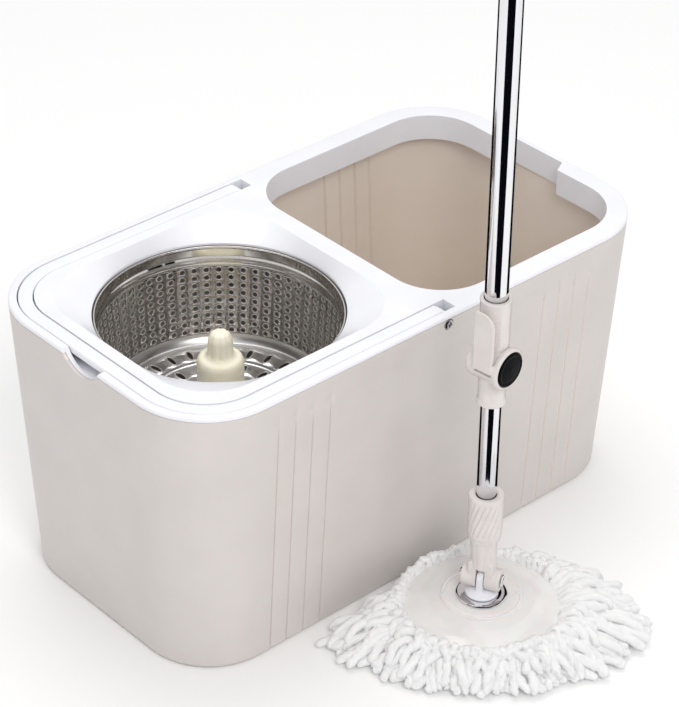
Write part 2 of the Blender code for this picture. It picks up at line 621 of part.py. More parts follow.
def lock_housing(parent):
    inner = UPPER_TUBE_RADIUS + GAP
    throat = LOWER_TUBE_RADIUS + 0.0006
    sleeves = [(0, SLEEVE_BOTTOM), (0.0105, SLEEVE_BOTTOM), (0.0105, SLEEVE_BOTTOM + 0.003),
               (0.0099, SLEEVE_BOTTOM + 0.0035), (0.0099, 0.232), (0.0105, 0.252), (0.0105, SLEEVE_TOP),
               (0, SLEEVE_TOP)]
    housing = lathe("lock_housing", sleeves, MOP_PLASTIC, parent)
    # The sleeves turn a little, so that no edge of theirs lies on an edge of the barrel.
    housing.rotation_euler = (0, 0, radians(4))
    barrel = lathe("lock_barrel", [(0, -0.0133), (0.0122, -0.0133), (0.0122, -BARREL_END),
                                   (BARREL_RADIUS, -BARREL_END), (BARREL_RADIUS, 0.0109), (0, 0.0109)],
                   MOP_PLASTIC, parent, 0, MEDIUM, True, (0, 0, LOCK_Z))
    tube_way = rod("lock_tube_way", inner, SLEEVE_BOTTOM + 0.0035, SLEEVE_TOP + 0.01, MOP_PLASTIC, parent,
                   steps=MEDIUM)
    throat_way = rod("lock_throat_way", throat, SLEEVE_BOTTOM - 0.01, SLEEVE_BOTTOM + 0.01, MOP_PLASTIC, parent,
                     steps=MEDIUM)
    pin_way = rod("lock_pin_way", 0.0033, 0.0, 0.02, MOP_PLASTIC, parent, 0, SMALL, True, (0, 0, LOCK_Z))
    pad_way = box("lock_pad_way", (-0.0126, -0.0043, LOCK_Z - 0.0043), (0.0, 0.0043, LOCK_Z + 0.0043),
                  MOP_PLASTIC, parent)
    join(housing, barrel)
    cut(housing, tube_way, throat_way, pin_way, pad_way)


def upper_pole():
    axis = frame_at("upper_pole_axis", (MOP_X, MOP_Y, 0), LOCK_ANGLE)
    inner = UPPER_TUBE_RADIUS - TUBE_WALL
    tube("guide_bush", inner - GAP, 0.0058, LOWER_TUBE_TOP + 0.0003, LOWER_TUBE_TOP + 0.012, WHITE_PLASTIC, axis)
    tube("upper_tube", UPPER_TUBE_RADIUS, inner, SLEEVE_BOTTOM + 0.0038, UPPER_TUBE_TOP, CHROME, axis)
    lock_housing(axis)
    rod("housing_cap", 0.0118, -0.0153, -0.0136, MOP_PLASTIC, axis, 0, MEDIUM, True, (0, 0, LOCK_Z))
    box("brake_pad", (-0.0123, -0.0040, LOCK_Z - 0.0040), (-0.0091, 0.0040, LOCK_Z + 0.0040), RUBBER, axis)
    strip = twisted_strip("twisted_rod", 0.0, STRIP_BOTTOM, STRIP_TOP - 0.0003, STEEL, axis, 0)
    strip.rotation_euler = (0, 0, -LOCK_ANGLE)
    rod("rod_anchor", inner - GAP, STRIP_TOP, STRIP_TOP + 0.018, GREY_PLASTIC, axis, steps=24)
    grip_inner = UPPER_TUBE_RADIUS + GAP
    grip = [(0.0118, 0.850), (0.0128, 0.853), (0.0128, 0.985), (0.0115, 0.9885), (0, 0.9885),
            (0, UPPER_TUBE_TOP + GAP), (grip_inner, UPPER_TUBE_TOP + GAP), (grip_inner, 0.850)]
    lathe("top_grip", grip, MOP_PLASTIC, axis)
    tab = prism("hanging_cap", [(-0.0085, 0.9888)] + arc((0, 1.006), 0.0100, 0.1 + pi, -0.1, 12)
                + [(0.0085, 0.9888)], "X", -0.0035, 0.0035, MOP_PLASTIC, axis)
    hole = rod("hanging_hole", 0.0045, -0.01, 0.01, MOP_PLASTIC, axis, 0, SMALL, True, (0, 0, 1.006))
    cut(tab, hole)


def lock_lever():
    """The cam lever: a disc at the barrel's end, a shell round the barrel's side and a thumb tongue."""
    pivot = frame_at("lever_pivot", (MOP_X, MOP_Y, LOCK_Z), LOCK_ANGLE)
    lever = rod("lock_lever", 0.0160, 0.0112, BARREL_END, MOP_PLASTIC, pivot, 0, MEDIUM, True)
    inner = BARREL_RADIUS + GAP
    start = pi - radians(30)
    end = pi - radians(6)
    shell = arc((0, 0), 0.0172, start, end, 12) + arc((0, 0), inner, end, start, 12)
    tongue = [(-0.0055, 0.001), (0.0128, 0.001)] + arc((0.0028, 0.0400), 0.0100, 0, pi / 2, 8)
    tongue += arc((-0.0030, 0.0475), 0.0025, pi / 2, pi, 4)
    join(lever, prism("lever_shell", shell, "X", -0.0057, 0.0143, MOP_PLASTIC, pivot),
         prism("lever_tongue", tongue, "Y", -0.0170, -0.0152, MOP_PLASTIC, pivot))
    cut(lever, rod("lever_bore", 0.0033, 0.0, 0.03, MOP_PLASTIC, pivot, 0, SMALL, True))
    lathe("lever_cap", [(0, 0.0148), (0.0132, 0.0148), (0.0132, 0.0158), (0.0118, 0.0166), (0, 0.0171)],
          BLACK_PLASTIC, pivot, 0, MEDIUM, True)
    rod("lever_pin", 0.0030, 0.0092, 0.0144, STEEL, pivot, 0, SMALL, True)


bucket_shell()
rubber_feet()
divider_panel()
top_frame()
carry_handle()
handle_screws()
drain_plug()
spindle_support()
basket()
mop_head(frame_at("mop_axis", (MOP_X, MOP_Y, 0)))
lower_pole()
upper_pole()
lock_lever()
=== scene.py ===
"""Looks for the spin mop set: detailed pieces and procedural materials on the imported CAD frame.

Metres, in the CAD's own frame. Each function that is named after a part makes its visible pieces in place, at
rest, and puts them on their CAD body. The shapes come from the mesh builders near the top.
"""

import random
from math import cos, pi, radians, sin

import bmesh
import bpy
from mathutils import Matrix, Vector, noise


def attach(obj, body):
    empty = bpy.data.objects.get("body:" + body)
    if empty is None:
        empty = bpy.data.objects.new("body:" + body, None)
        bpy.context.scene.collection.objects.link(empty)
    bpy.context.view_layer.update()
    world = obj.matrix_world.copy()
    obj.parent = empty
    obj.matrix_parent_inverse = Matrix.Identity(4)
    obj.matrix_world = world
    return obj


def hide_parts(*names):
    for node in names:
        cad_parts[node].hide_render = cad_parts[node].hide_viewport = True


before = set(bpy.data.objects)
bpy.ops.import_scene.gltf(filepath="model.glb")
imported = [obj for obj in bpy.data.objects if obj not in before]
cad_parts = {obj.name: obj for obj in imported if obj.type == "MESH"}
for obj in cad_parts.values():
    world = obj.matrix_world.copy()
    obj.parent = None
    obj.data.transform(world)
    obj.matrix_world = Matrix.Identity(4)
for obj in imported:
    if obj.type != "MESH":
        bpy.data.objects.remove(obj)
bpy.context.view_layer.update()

# Sizes that the CAD has too.
BUCKET_LENGTH, BUCKET_WIDTH, TOP = 0.470, 0.258, 0.237
BASE_LENGTH, BASE_WIDTH = 0.4486, 0.2322
TOP_CORNER, BASE_CORNER = 0.0636, 0.0573
WALL, FLOOR, GAP, LIP = 0.0025, 0.0040, 0.0003, 0.0030
SKIRT_DEPTH, SKIRT_INSET = 0.022, 0.0028
RINSE_MIN_X, RINSE_MAX_X, RINSE_HALF_WIDTH, RINSE_CORNER = 0.0106, 0.2182, 0.1112, 0.0446
SPOUT_MAX_X, SPOUT_HALF_WIDTH, SPOUT_TAPER = 0.2296, 0.0255, 0.0070
BASKET_X = -0.1055
DISH_HALF, DISH_CORNER, DISH_RADIUS, DISH_DEPTH, COLLAR_RADIUS = 0.1003, 0.048, 0.0946, 0.0109, 0.0975
HANDLE_OUTER, HANDLE_INNER, HANDLE_THICKNESS, HANDLE_END_X = 0.0074, 0.0184, 0.0055, 0.0066
PIVOT_X, PIVOT_Z, LUG_RADIUS, SCREW_HEAD_RADIUS, NOTCH_END_X = 0.0060, 0.2292, 0.0070, 0.0039, 0.0180
SCOOP_HALF_WIDTH, SCOOP_DEPTH = 0.0215, 0.0130
RIM_Z, BASKET_FLOOR_Z, SHEET = 0.2245, 0.1402, 0.0012
SPINDLE_SHOULDER_Z, SPINDLE_TOP_Z = 0.1850, 0.2070
POST_RADIUS, SPINDLE_RADIUS, FLANGE_RADIUS = 0.0100, 0.0180, 0.0310
DRAIN_Y, DRAIN_Z = 0.0300, 0.1095
MOP_X, MOP_Y = -0.0185, -0.1990
FRINGE_HALF_WIDTH, FRINGE_HALF_DEPTH, FRINGE_WALL_Y, FRINGE_TURN = 0.129, 0.084, -0.1305, radians(-42)
PLATE_RADIUS, PIN_Z, PIN_ANGLE = 0.064, 0.0490, radians(-63)
LOCK_Z, LOCK_ANGLE = 0.2430, radians(-84)
LOWER_TUBE_RADIUS, UPPER_TUBE_RADIUS, TUBE_WALL = 0.0076, 0.0085, 0.0006
LOWER_TUBE_TOP, UPPER_TUBE_TOP, SLEEVE_BOTTOM, SLEEVE_TOP = 0.600, 0.965, 0.2090, 0.2975
BARREL_RADIUS, BARREL_END, EAR_END = 0.01475, 0.0145, 0.0150

# Sizes of the finer detail.
GROOVE_PLACES = (0.108, 0.1245, 0.141, 0.157)
GROOVE_DEPTH, GROOVE_FADE_LOW, GROOVE_FADE_HIGH = 0.0019, 0.200, 0.222
HOLE_COLUMNS, HOLE_ROWS, HOLE_RADIUS = 60, 9, 0.0020
STRAND_RADIUS = 0.0034

FINE = 128
ROUND = 96
CORNER_STEPS = 14
X_AXIS, Y_AXIS, Z_AXIS = Vector((1, 0, 0)), Vector((0, 1, 0)), Vector((0, 0, 1))


# Materials.

def link(tree, source, output, target, socket):
    tree.links.new(source.outputs[output], target.inputs[socket])


def surface(name, dark, light, roughness, patch_scale, bump_scale, bump, metallic=0.0, stretch=(1, 1, 1),
            detail=3.0, **extra):
    """A shader whose colour and roughness drift between two values, with a fine bump of its own scale."""
    made = bpy.data.materials.new(name)
    made.use_nodes = True
    tree = made.node_tree
    shader = tree.nodes["Principled BSDF"]
    place = tree.nodes.new("ShaderNodeTexCoord")
    scaled = tree.nodes.new("ShaderNodeMapping")
    scaled.inputs["Scale"].default_value = stretch
    link(tree, place, "Object", scaled, "Vector")
    patches = tree.nodes.new("ShaderNodeTexNoise")
    patches.inputs["Scale"].default_value = patch_scale
    patches.inputs["Detail"].default_value = detail
    link(tree, scaled, "Vector", patches, "Vector")
    ramp = tree.nodes.new("ShaderNodeValToRGB")
    ramp.color_ramp.elements[0].position = 0.32
    ramp.color_ramp.elements[0].color = (*dark, 1)
    ramp.color_ramp.elements[1].position = 0.68
    ramp.color_ramp.elements[1].color = (*light, 1)
    link(tree, patches, "Fac", ramp, "Fac")
    link(tree, ramp, "Color", shader, "Base Color")
    spread = tree.nodes.new("ShaderNodeMapRange")
    spread.inputs["To Min"].default_value = roughness[0]
    spread.inputs["To Max"].default_value = roughness[1]
    link(tree, patches, "Fac", spread, "Value")
    link(tree, spread, "Result", shader, "Roughness")
    grain = tree.nodes.new("ShaderNodeTexNoise")
    grain.inputs["Scale"].default_value = bump_scale
    grain.inputs["Detail"].default_value = 4.0
    link(tree, scaled, "Vector", grain, "Vector")
    raised = tree.nodes.new("ShaderNodeBump")
    raised.inputs["Strength"].default_value = bump[0]
    raised.inputs["Distance"].default_value = bump[1]
    link(tree, grain, "Fac", raised, "Height")
    link(tree, raised, "Normal", shader, "Normal")
    shader.inputs["Metallic"].default_value = metallic
    for socket, value in extra.items():
        shader.inputs[socket.replace("_", " ")].default_value = value
    return made


SHELL = surface("shell_look", (0.625, 0.583, 0.562), (0.655, 0.612, 0.590), (0.38, 0.48), 22, 1500,
                (0.12, 0.0002))
# The inside of the shell is a lighter, warmer copy of the same plastic: painted light.
SHELL_INSIDE_PAINTED_LIGHT = surface("shell_inside_painted_light_look", (0.78, 0.695, 0.615), (0.82, 0.735, 0.655), (0.45, 0.55), 18,
                       1500, (0.12, 0.0002))
FRAME_WHITE = surface("frame_look", (0.83, 0.835, 0.88), (0.86, 0.865, 0.905), (0.26, 0.36), 30, 1300,
                      (0.08, 0.0002))
MOP_PLASTIC = surface("mop_plastic_look", (0.70, 0.655, 0.635), (0.75, 0.705, 0.685), (0.30, 0.40), 60, 1800,
                      (0.10, 0.0002))
IVORY = surface("ivory_look", (0.92, 0.87, 0.68), (0.95, 0.91, 0.75), (0.34, 0.46), 80, 1600, (0.12, 0.0002),
                Subsurface_Weight=0.15, Subsurface_Scale=0.004)
GLOSS_BLACK = surface("black_look", (0.003, 0.003, 0.004), (0.006, 0.006, 0.007), (0.10, 0.14), 90, 900,
                      (0.03, 0.0001), Specular_IOR_Level=0.03)
GREY_PLASTIC = surface("grey_look", (0.40, 0.40, 0.41), (0.47, 0.47, 0.48), (0.42, 0.55), 70, 1500,
                       (0.15, 0.0002))
STAINLESS = surface("stainless_look", (0.70, 0.66, 0.62), (0.80, 0.78, 0.76), (0.04, 0.09), 55, 700,
                    (0.03, 0.0001), metallic=1.0, stretch=(1, 1, 2.5))
# The drum wall is a darker copy of the stainless: painted shade that stands in for its dark reflections.
DRUM_STEEL_PAINTED_SHADE = surface("drum_painted_shade_look", (0.42, 0.385, 0.36), (0.56, 0.53, 0.50), (0.05, 0.10), 55, 700,
                     (0.03, 0.0001), metallic=1.0, stretch=(1, 1, 2.5))
# The hole lips are a brighter copy of the same steel: a painted highlight round each hole.
LIP_STEEL_PAINTED_HIGHLIGHT = surface("lip_painted_highlight_look", (0.84, 0.82, 0.79), (0.92, 0.90, 0.88), (0.38, 0.48), 120, 900,
                    (0.04, 0.0001), metallic=1.0)
SATIN_STEEL = surface("satin_look", (0.88, 0.87, 0.86), (0.94, 0.93, 0.92), (0.24, 0.34), 90, 1200,
                      (0.05, 0.0001), metallic=1.0)
CHROME = surface("chrome_look", (0.80, 0.80, 0.83), (0.86, 0.86, 0.88), (0.03, 0.07), 40, 500, (0.02, 0.0001),
                 metallic=1.0, stretch=(1, 1, 0.1))
STEEL = surface("steel_look", (0.50, 0.50, 0.51), (0.60, 0.60, 0.61), (0.22, 0.38), 150, 1500, (0.12, 0.0002),
                metallic=1.0)
BRONZE = surface("bronze_look", (0.48, 0.31, 0.14), (0.58, 0.40, 0.20), (0.28, 0.42), 200, 2000,
                 (0.15, 0.0002), metallic=1.0)
RUBBER = surface("rubber_look", (0.035, 0.035, 0.036), (0.06, 0.06, 0.06), (0.70, 0.88), 180, 2600,
                 (0.4, 0.0003))
PLATE_WHITE = surface("plate_look", (0.80, 0.765, 0.75), (0.85, 0.82, 0.81), (0.12, 0.20), 35, 900,
                      (0.05, 0.0002), Subsurface_Weight=0.3, Subsurface_Scale=0.006, Coat_Weight=0.35,
                      Coat_Roughness=0.08)
# The yarn glows faintly through its emission: painted light that keeps the fringe bright white.
YARN_WITH_GLOW = surface("yarn_glow_look", (0.95, 0.95, 0.955), (0.99, 0.99, 0.99), (0.88, 1.0), 260, 2400, (0.9, 0.0012),
               detail=6.0, Sheen_Weight=0.35, Emission_Color=(1, 1, 1, 1), Emission_Strength=0.10)


# Mesh builders.

def skin(bm, rings, around=True, loop=False, caps=True):
    """Faces between rows of as many points each. Around closes a row, and loop joins the last to the first."""
    made = [[bm.verts.new(point) for point in ring] for ring in rings]
    pairs = list(zip(made, made[1:]))
    if loop:
        pairs.append((made[-1], made[0]))
    count = len(made[0])
    for low, high in pairs:
        for i in range(count if around else count - 1):
            j = (i + 1) % count
            bm.faces.new((low[i], low[j], high[j], high[i]))
    if caps and not loop:
        bm.faces.new(made[0])
        bm.faces.new(made[-1])
    return made


def turned(bm, profile, steps=ROUND, matrix=Matrix.Identity(4), radius_at=None):
    """Turns (radius, height) points round Z. A profile that starts off the axis is a closed section."""
    rings = []
    for radius, height in profile:
        ring = []
        for i in range(steps):
            angle = 2 * pi * i / steps
            reach = max(radius, 1e-5)
            if radius_at:
                reach = radius_at(reach, angle, height)
            ring.append(matrix @ Vector((reach * cos(angle), reach * sin(angle), height)))
        rings.append(ring)
    skin(bm, rings, loop=profile[0][0] > 0)


def softened(points, radius, closed=True, steps=4):
    """The same outline with each corner rounded by at most a radius."""
    count = len(points)
    out = []
    for i, point in enumerate(points):
        if not closed and i in (0, count - 1):
            out.append(tuple(point))
            continue
        here = Vector(point)
        before = Vector(points[i - 1]) - here
        after = Vector(points[(i + 1) % count]) - here
        reach = min(radius, before.length * 0.45, after.length * 0.45)
        start = here + before.normalized() * reach
        end = here + after.normalized() * reach
        for step in range(steps + 1):
            t = step / steps
            out.append(tuple(start * (1 - t)**2 + here * 2 * t * (1 - t) + end * t**2))
    return out


def shrunk(outline, distance):
    """A closed outline moved inwards along its own normals."""
    count = len(outline)
    area = sum(outline[i - 1][0] * outline[i][1] - outline[i][0] * outline[i - 1][1] for i in range(count))
    sign = 1 if area > 0 else -1
    out = []
    for i in range(count):
        here = Vector(outline[i])
        a = (here - Vector(outline[i - 1])).normalized()
        b = (Vector(outline[(i + 1) % count]) - here).normalized()
        inward = Vector((-(a.y + b.y), a.x + b.x)) * sign
        inward.normalize()
        out.append(tuple(here + inward * distance))
    return out


def slab(bm, outline, low, high, radius, matrix=Matrix.Identity(4), steps=3):
    """An outline extruded along Z, with its end edges rounded."""
    levels = []
    for step in range(steps + 1):
        angle = pi / 2 * step / steps
        levels.append((radius * (1 - sin(angle)), low + radius * (1 - cos(angle))))
    levels += [(inset, high + low - z) for inset, z in reversed(levels)]
    rings = [[matrix @ Vector((x, y, z)) for x, y in shrunk(outline, inset)] for inset, z in levels]
    skin(bm, rings)


def axes(x, y, z, at=(0, 0, 0)):
    matrix = Matrix((x, y, z)).transposed().to_4x4()
    matrix.translation = at
    return matrix


SECTION_X = axes(Y_AXIS, Z_AXIS, X_AXIS)
SECTION_Y = axes(X_AXIS, Z_AXIS, Y_AXIS)


def finished(name, bm, look, matrix=Matrix.Identity(4), sharp=35):
    bmesh.ops.remove_doubles(bm, verts=bm.verts, dist=1e-7)
    bmesh.ops.recalc_face_normals(bm, faces=bm.faces)
    mesh = bpy.data.meshes.new(name)
    bm.to_mesh(mesh)
    bm.free()
    mesh.transform(matrix)
    mesh.materials.append(look)
    mesh.shade_smooth()
    mesh.set_sharp_from_angle(angle=radians(sharp))
    obj = bpy.data.objects.new(name, mesh)
    bpy.context.scene.collection.objects.link(obj)
    return obj


def baked(obj):
    """Replaces an object's mesh with what its modifiers make of it."""
    graph = bpy.context.evaluated_depsgraph_get()
    mesh = bpy.data.meshes.new_from_object(obj.evaluated_get(graph))
    obj.modifiers.clear()
    obj.data = mesh
    return obj


def carved(obj, tools, edge=0.0, steps=3):
    """Cuts the tools out of an object, rounds the sharp edges, and removes the tools."""
    for tool in tools:
        cut = obj.modifiers.new("cut", "BOOLEAN")
        cut.object = tool
        cut.operation = "DIFFERENCE"
        cut.solver = "EXACT"
    baked(obj)
    for tool in tools:
        bpy.data.objects.remove(tool)
    if edge:
        bevel = obj.modifiers.new("edge", "BEVEL")
        bevel.width = edge
        bevel.segments = steps
        bevel.limit_method = "ANGLE"
        bevel.angle_limit = radians(38)
        bevel.use_clamp_overlap = True
        bevel.harden_normals = True
        baked(obj)
    return obj


def fused(obj, voxel, smooth=5):
    """Melts the overlapping solids of one object into one moulded body."""
    remesh = obj.modifiers.new("fuse", "REMESH")
    remesh.mode = "VOXEL"
    remesh.voxel_size = voxel
    remesh.use_smooth_shade = True
    soften = obj.modifiers.new("soften", "SMOOTH")
    soften.factor = 0.5
    soften.iterations = smooth
    look = obj.data.materials[0]
    baked(obj)
    obj.data.materials.clear()
    obj.data.materials.append(look)
    return obj


def put(obj, body, slot, *nodes):
    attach(obj, body)
    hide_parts(*nodes)
    return obj


def about(x, y, angle=0.0, z=0.0):
    return Matrix.Translation((x, y, z)) @ Matrix.Rotation(angle, 4, "Z")


BASKET_AXIS = about(BASKET_X, 0)
HEAD = about(MOP_X, MOP_Y)
LOWER = about(MOP_X, MOP_Y, PIN_ANGLE)
UPPER = about(MOP_X, MOP_Y, LOCK_ANGLE)
BARREL = axes(-Z_AXIS, Y_AXIS, X_AXIS, (0, 0, LOCK_Z))
PIN_LINE = axes(-Z_AXIS, Y_AXIS, X_AXIS, (0, 0, PIN_Z))


# Outlines.

def arc(centre, radius, start, end, steps):
    angles = [start + (end - start) * i / steps for i in range(steps + 1)]
    return [(centre[0] + radius * cos(a), centre[1] + radius * sin(a)) for a in angles]


def rounded_rectangle(low, high, radius, steps=CORNER_STEPS):
    corners = (
        ((high[0] - radius, high[1] - radius), 0),
        ((low[0] + radius, high[1] - radius), pi / 2),
        ((low[0] + radius, low[1] + radius), pi),
        ((high[0] - radius, low[1] + radius), 3 * pi / 2),
    )
    outline = []
    for centre, start in corners:
        outline += arc(centre, radius, start, start + pi / 2, steps)
    return outline


def bucket_size(height, inset):
    share = height / TOP
    half_x = (BASE_LENGTH + (BUCKET_LENGTH - BASE_LENGTH) * share) / 2 - inset
    half_y = (BASE_WIDTH + (BUCKET_WIDTH - BASE_WIDTH) * share) / 2 - inset
    return half_x, half_y, BASE_CORNER + (TOP_CORNER - BASE_CORNER) * share - inset


def bucket_ring(height, inset):
    half_x, half_y, corner = bucket_size(height, inset)
    return [(x, y, height) for x, y in rounded_rectangle((-half_x, -half_y), (half_x, half_y), corner)]


def grooved_ring(height, inset):
    """The bucket's outline with the pressed lines of its long sides, which fade out near the top."""
    half_x, half_y, corner = bucket_size(height, inset)
    fade = (GROOVE_FADE_HIGH - height) / (GROOVE_FADE_HIGH - GROOVE_FADE_LOW)
    depth = GROOVE_DEPTH * min(max(fade, 0), 1)
    step = ((-0.0009, 0), (0, 1), (0.0009, 0.22), (0.0060, 0))
    places = sorted(side * place for side in (-1, 1) for place in GROOVE_PLACES)
    line = [(x + dx, depth * share) for x in places for dx, share in step]
    inner_x = half_x - corner
    inner_y = half_y - corner
    ring = arc((inner_x, inner_y), corner, 0, pi / 2, CORNER_STEPS)
    ring += [(x, half_y - sunk) for x, sunk in reversed(line)]
    ring += arc((-inner_x, inner_y), corner, pi / 2, pi, CORNER_STEPS)
    ring += arc((-inner_x, -inner_y), corner, pi, 3 * pi / 2, CORNER_STEPS)
    ring += [(x, sunk - half_y) for x, sunk in line]
    ring += arc((inner_x, -inner_y), corner, 3 * pi / 2, 2 * pi, CORNER_STEPS)
    return [(x, y, height) for x, y in ring]


def wall_y(height):
    return bucket_size(height, 0)[1]


def u_line(inset, end_x, steps=20):
    """An open line round the basket end, a constant inset from the bucket's top edge."""
    half_x = BUCKET_LENGTH / 2 - inset
    half_y = BUCKET_WIDTH / 2 - inset
    radius = TOP_CORNER - inset
    near = arc((radius - half_x, radius - half_y), radius, 3 * pi / 2, pi, steps)
    far = arc((radius - half_x, half_y - radius), radius, pi, pi / 2, steps)
    return [(end_x, -half_y)] + near + far + [(end_x, half_y)]


def tool(name, bm):
    return finished(name, bm, SHELL)


def rod_tool(name, radius, low, high, matrix, steps=48):
    bm = bmesh.new()
    turned(bm, [(0, low), (radius, low), (radius, high), (0, high)], steps, matrix)
    return tool(name, bm)


def prism_tool(name, outline, low, high, matrix=Matrix.Identity(4)):
    bm = bmesh.new()
    skin(bm, [[matrix @ Vector((x, y, z)) for x, y in outline] for z in (low, high)])
    return tool(name, bm)


def box_tool(name, low, high):
    outline = [(low[0], low[1]), (high[0], low[1]), (high[0], high[1]), (low[0], high[1])]
    return prism_tool(name, outline, low[2], high[2])


# Bucket.

def scoop_tool(name, extra):
    radius = (SCOOP_HALF_WIDTH**2 + SCOOP_DEPTH**2) / (2 * SCOOP_DEPTH)
    outline = arc((0, TOP - SCOOP_DEPTH + radius), radius + extra, 0, 2 * pi * (1 - 1 / 96), 95)
    return prism_tool(name, outline, -BUCKET_LENGTH, HANDLE_INNER + 0.0005 - BUCKET_LENGTH / 2, SECTION_X)


def bucket_shell():
    bm = bmesh.new()
    shell_top = TOP - LIP - GAP
    foot = 0.0045
    levels = [(0.0014, 0.017), (0.0002, 0.0155), (0, 0.0135)]
    for step in range(6):
        angle = pi / 2 * step / 5
        levels.append((foot * (1 - cos(angle)), foot * (1 - sin(angle))))
    levels += [(z, 0) for z in (0.06, 0.12, 0.17, GROOVE_FADE_LOW, 0.206, 0.212, 0.218, GROOVE_FADE_HIGH)]
    edge = 0.0004
    levels += [(shell_top - edge, 0), (shell_top, edge), (shell_top, WALL - edge), (shell_top - edge, WALL)]
    levels += [(z, WALL) for z in (GROOVE_FADE_HIGH, 0.218, 0.212, 0.206, GROOVE_FADE_LOW, 0.12, 0.06)]
    levels += [(FLOOR + 0.006, WALL), (FLOOR + 0.0018, WALL + 0.0018), (FLOOR, WALL + 0.006)]
    skin(bm, [grooved_ring(z, inset) for z, inset in levels])
    shell = finished("bucket_shell_look", bm, SHELL, sharp=28)
    tools = [scoop_tool("shell_scoop", GAP)]
    for side in (-1, 1):
        face = wall_y(PIVOT_Z) - 0.0012
        line = axes(X_AXIS, -Z_AXIS, Y_AXIS * side, (PIVOT_X, 0, PIVOT_Z))
        tools.append(rod_tool(f"counterbore_{side}", SCREW_HEAD_RADIUS + 0.0007, face, BUCKET_WIDTH, line))
    drain = axes(-Z_AXIS, Y_AXIS, X_AXIS, (0, DRAIN_Y, DRAIN_Z))
    tools.append(rod_tool("drain_bore", 0.0065, 0.20, 0.25, drain))
    carved(shell, tools)
    shell.data.shade_smooth()
    shell.data.set_sharp_from_angle(angle=radians(28))
    # Inner faces and the inside floor take the lighter copy of painted light.
    shell.data.materials.append(SHELL_INSIDE_PAINTED_LIGHT)
    for face in shell.data.polygons:
        inwards = face.normal.x * face.center.x + face.normal.y * face.center.y < -0.01
        bottom = face.normal.z > 0.9 and face.center.z < 0.02
        face.material_index = 1 if inwards or bottom else 0
    put(shell, "bucket", "shell_plastic", "bucket_shell")


def dish_tool():
    """From a rounded square at the top of the frame down to the round basket opening."""
    def square_radius(angle):
        straight = DISH_HALF - DISH_CORNER
        along, across = sorted((abs(cos(angle)), abs(sin(angle))), reverse=True)
        if DISH_HALF * across / along <= straight:
            return DISH_HALF / along
        lean = straight * (along + across)
        return lean + (lean**2 - 2 * straight**2 + DISH_CORNER**2) ** 0.5

    def ring(depth, blend):
        points = []
        for i in range(FINE):
            angle = 2 * pi * i / FINE
            radius = DISH_RADIUS + (square_radius(angle) - DISH_RADIUS) * blend
            points.append((BASKET_X + radius * cos(angle), radius * sin(angle), TOP - depth))
        return points

    rings = [ring(0.0130, 0), ring(DISH_DEPTH + 0.0006, 0)]
    steps = 10
    for step in range(steps + 1):
        t = step / steps
        rings.append(ring(DISH_DEPTH * (1 - t), t**1.15))
    rings.append(ring(-0.004, 1.01))
    bm = bmesh.new()
    skin(bm, rings)
    return tool("dish", bm)


def top_frame():
    bm = bmesh.new()
    edge = 0.0017
    levels = [(TOP - SKIRT_DEPTH, SKIRT_INSET), (TOP - LIP, SKIRT_INSET), (TOP - LIP, 0.0003),
              (TOP - LIP + 0.0003, 0)]
    for step in range(5):
        angle = pi / 2 * step / 4
        levels.append((TOP - edge + edge * sin(angle), edge * (1 - cos(angle))))
    skin(bm, [bucket_ring(z, inset) for z, inset in levels])
    piece = finished("top_frame_look", bm, FRAME_WHITE)
    rinse = rounded_rectangle((RINSE_MIN_X, -RINSE_HALF_WIDTH), (RINSE_MAX_X, RINSE_HALF_WIDTH), RINSE_CORNER)
    tools = [prism_tool("rinse", rinse, TOP - 0.05, TOP + 0.01)]
    tools.append(rod_tool("well", COLLAR_RADIUS, TOP - 0.05, TOP - 0.0125, BASKET_AXIS, FINE))
    tools.append(dish_tool())
    half = SPOUT_HALF_WIDTH
    low_x = RINSE_MAX_X - 0.002
    spout = [(low_x, -half - SPOUT_TAPER), (SPOUT_MAX_X, -half), (SPOUT_MAX_X, half),
             (low_x, half + SPOUT_TAPER)]
    tools.append(prism_tool("spout", spout, TOP - 0.05, TOP + 0.01))
    line = u_line(HANDLE_OUTER - 0.0009, NOTCH_END_X) + u_line(HANDLE_INNER + 0.0009, NOTCH_END_X)[::-1]
    tools.append(prism_tool("channel", line, TOP - 0.0135, TOP + 0.01))
    for side in (-1, 1):
        far = side * (BUCKET_WIDTH / 2 - HANDLE_OUTER + 0.0005)
        near = side * (BUCKET_WIDTH / 2 - HANDLE_INNER - 0.0005)
        low = (PIVOT_X - 0.0145, min(far, near), PIVOT_Z - LUG_RADIUS - 0.0006)
        high = (NOTCH_END_X - 0.0001, max(far, near), TOP + 0.01)
        tools.append(box_tool(f"lug_way_{side}", low, high))
    tools.append(scoop_tool("frame_scoop", 0))
    carved(piece, tools, edge=0.0007)
    put(piece, "bucket", "white_plastic", "top_frame")


def carry_handle():
    bm = bmesh.new()
    low = TOP - HANDLE_THICKNESS
    section = [(HANDLE_OUTER, low), (HANDLE_INNER, low), (HANDLE_INNER, TOP), (HANDLE_OUTER, TOP)]
    rings = []
    for inset, z in softened(section, 0.0013):
        rings.append([(x, y, z) for x, y in u_line(inset, HANDLE_END_X)])
    made = skin(bm, rings, around=False, loop=True)
    bm.faces.new([row[0] for row in made])
    bm.faces.new([row[-1] for row in made])
    for side in (-1, 1):
        line = axes(X_AXIS, -Z_AXIS, Y_AXIS * side, (PIVOT_X, 0, PIVOT_Z))
        near = BUCKET_WIDTH / 2 - HANDLE_INNER + 0.0002
        far = BUCKET_WIDTH / 2 - HANDLE_OUTER - 0.0002
        profile = softened([(0, near), (LUG_RADIUS, near), (LUG_RADIUS, far), (0, far)], 0.0008, closed=False)
        turned(bm, profile, 48, line)
    put(finished("carry_handle_look", bm, FRAME_WHITE), "handle", "white_plastic", "carry_handle")


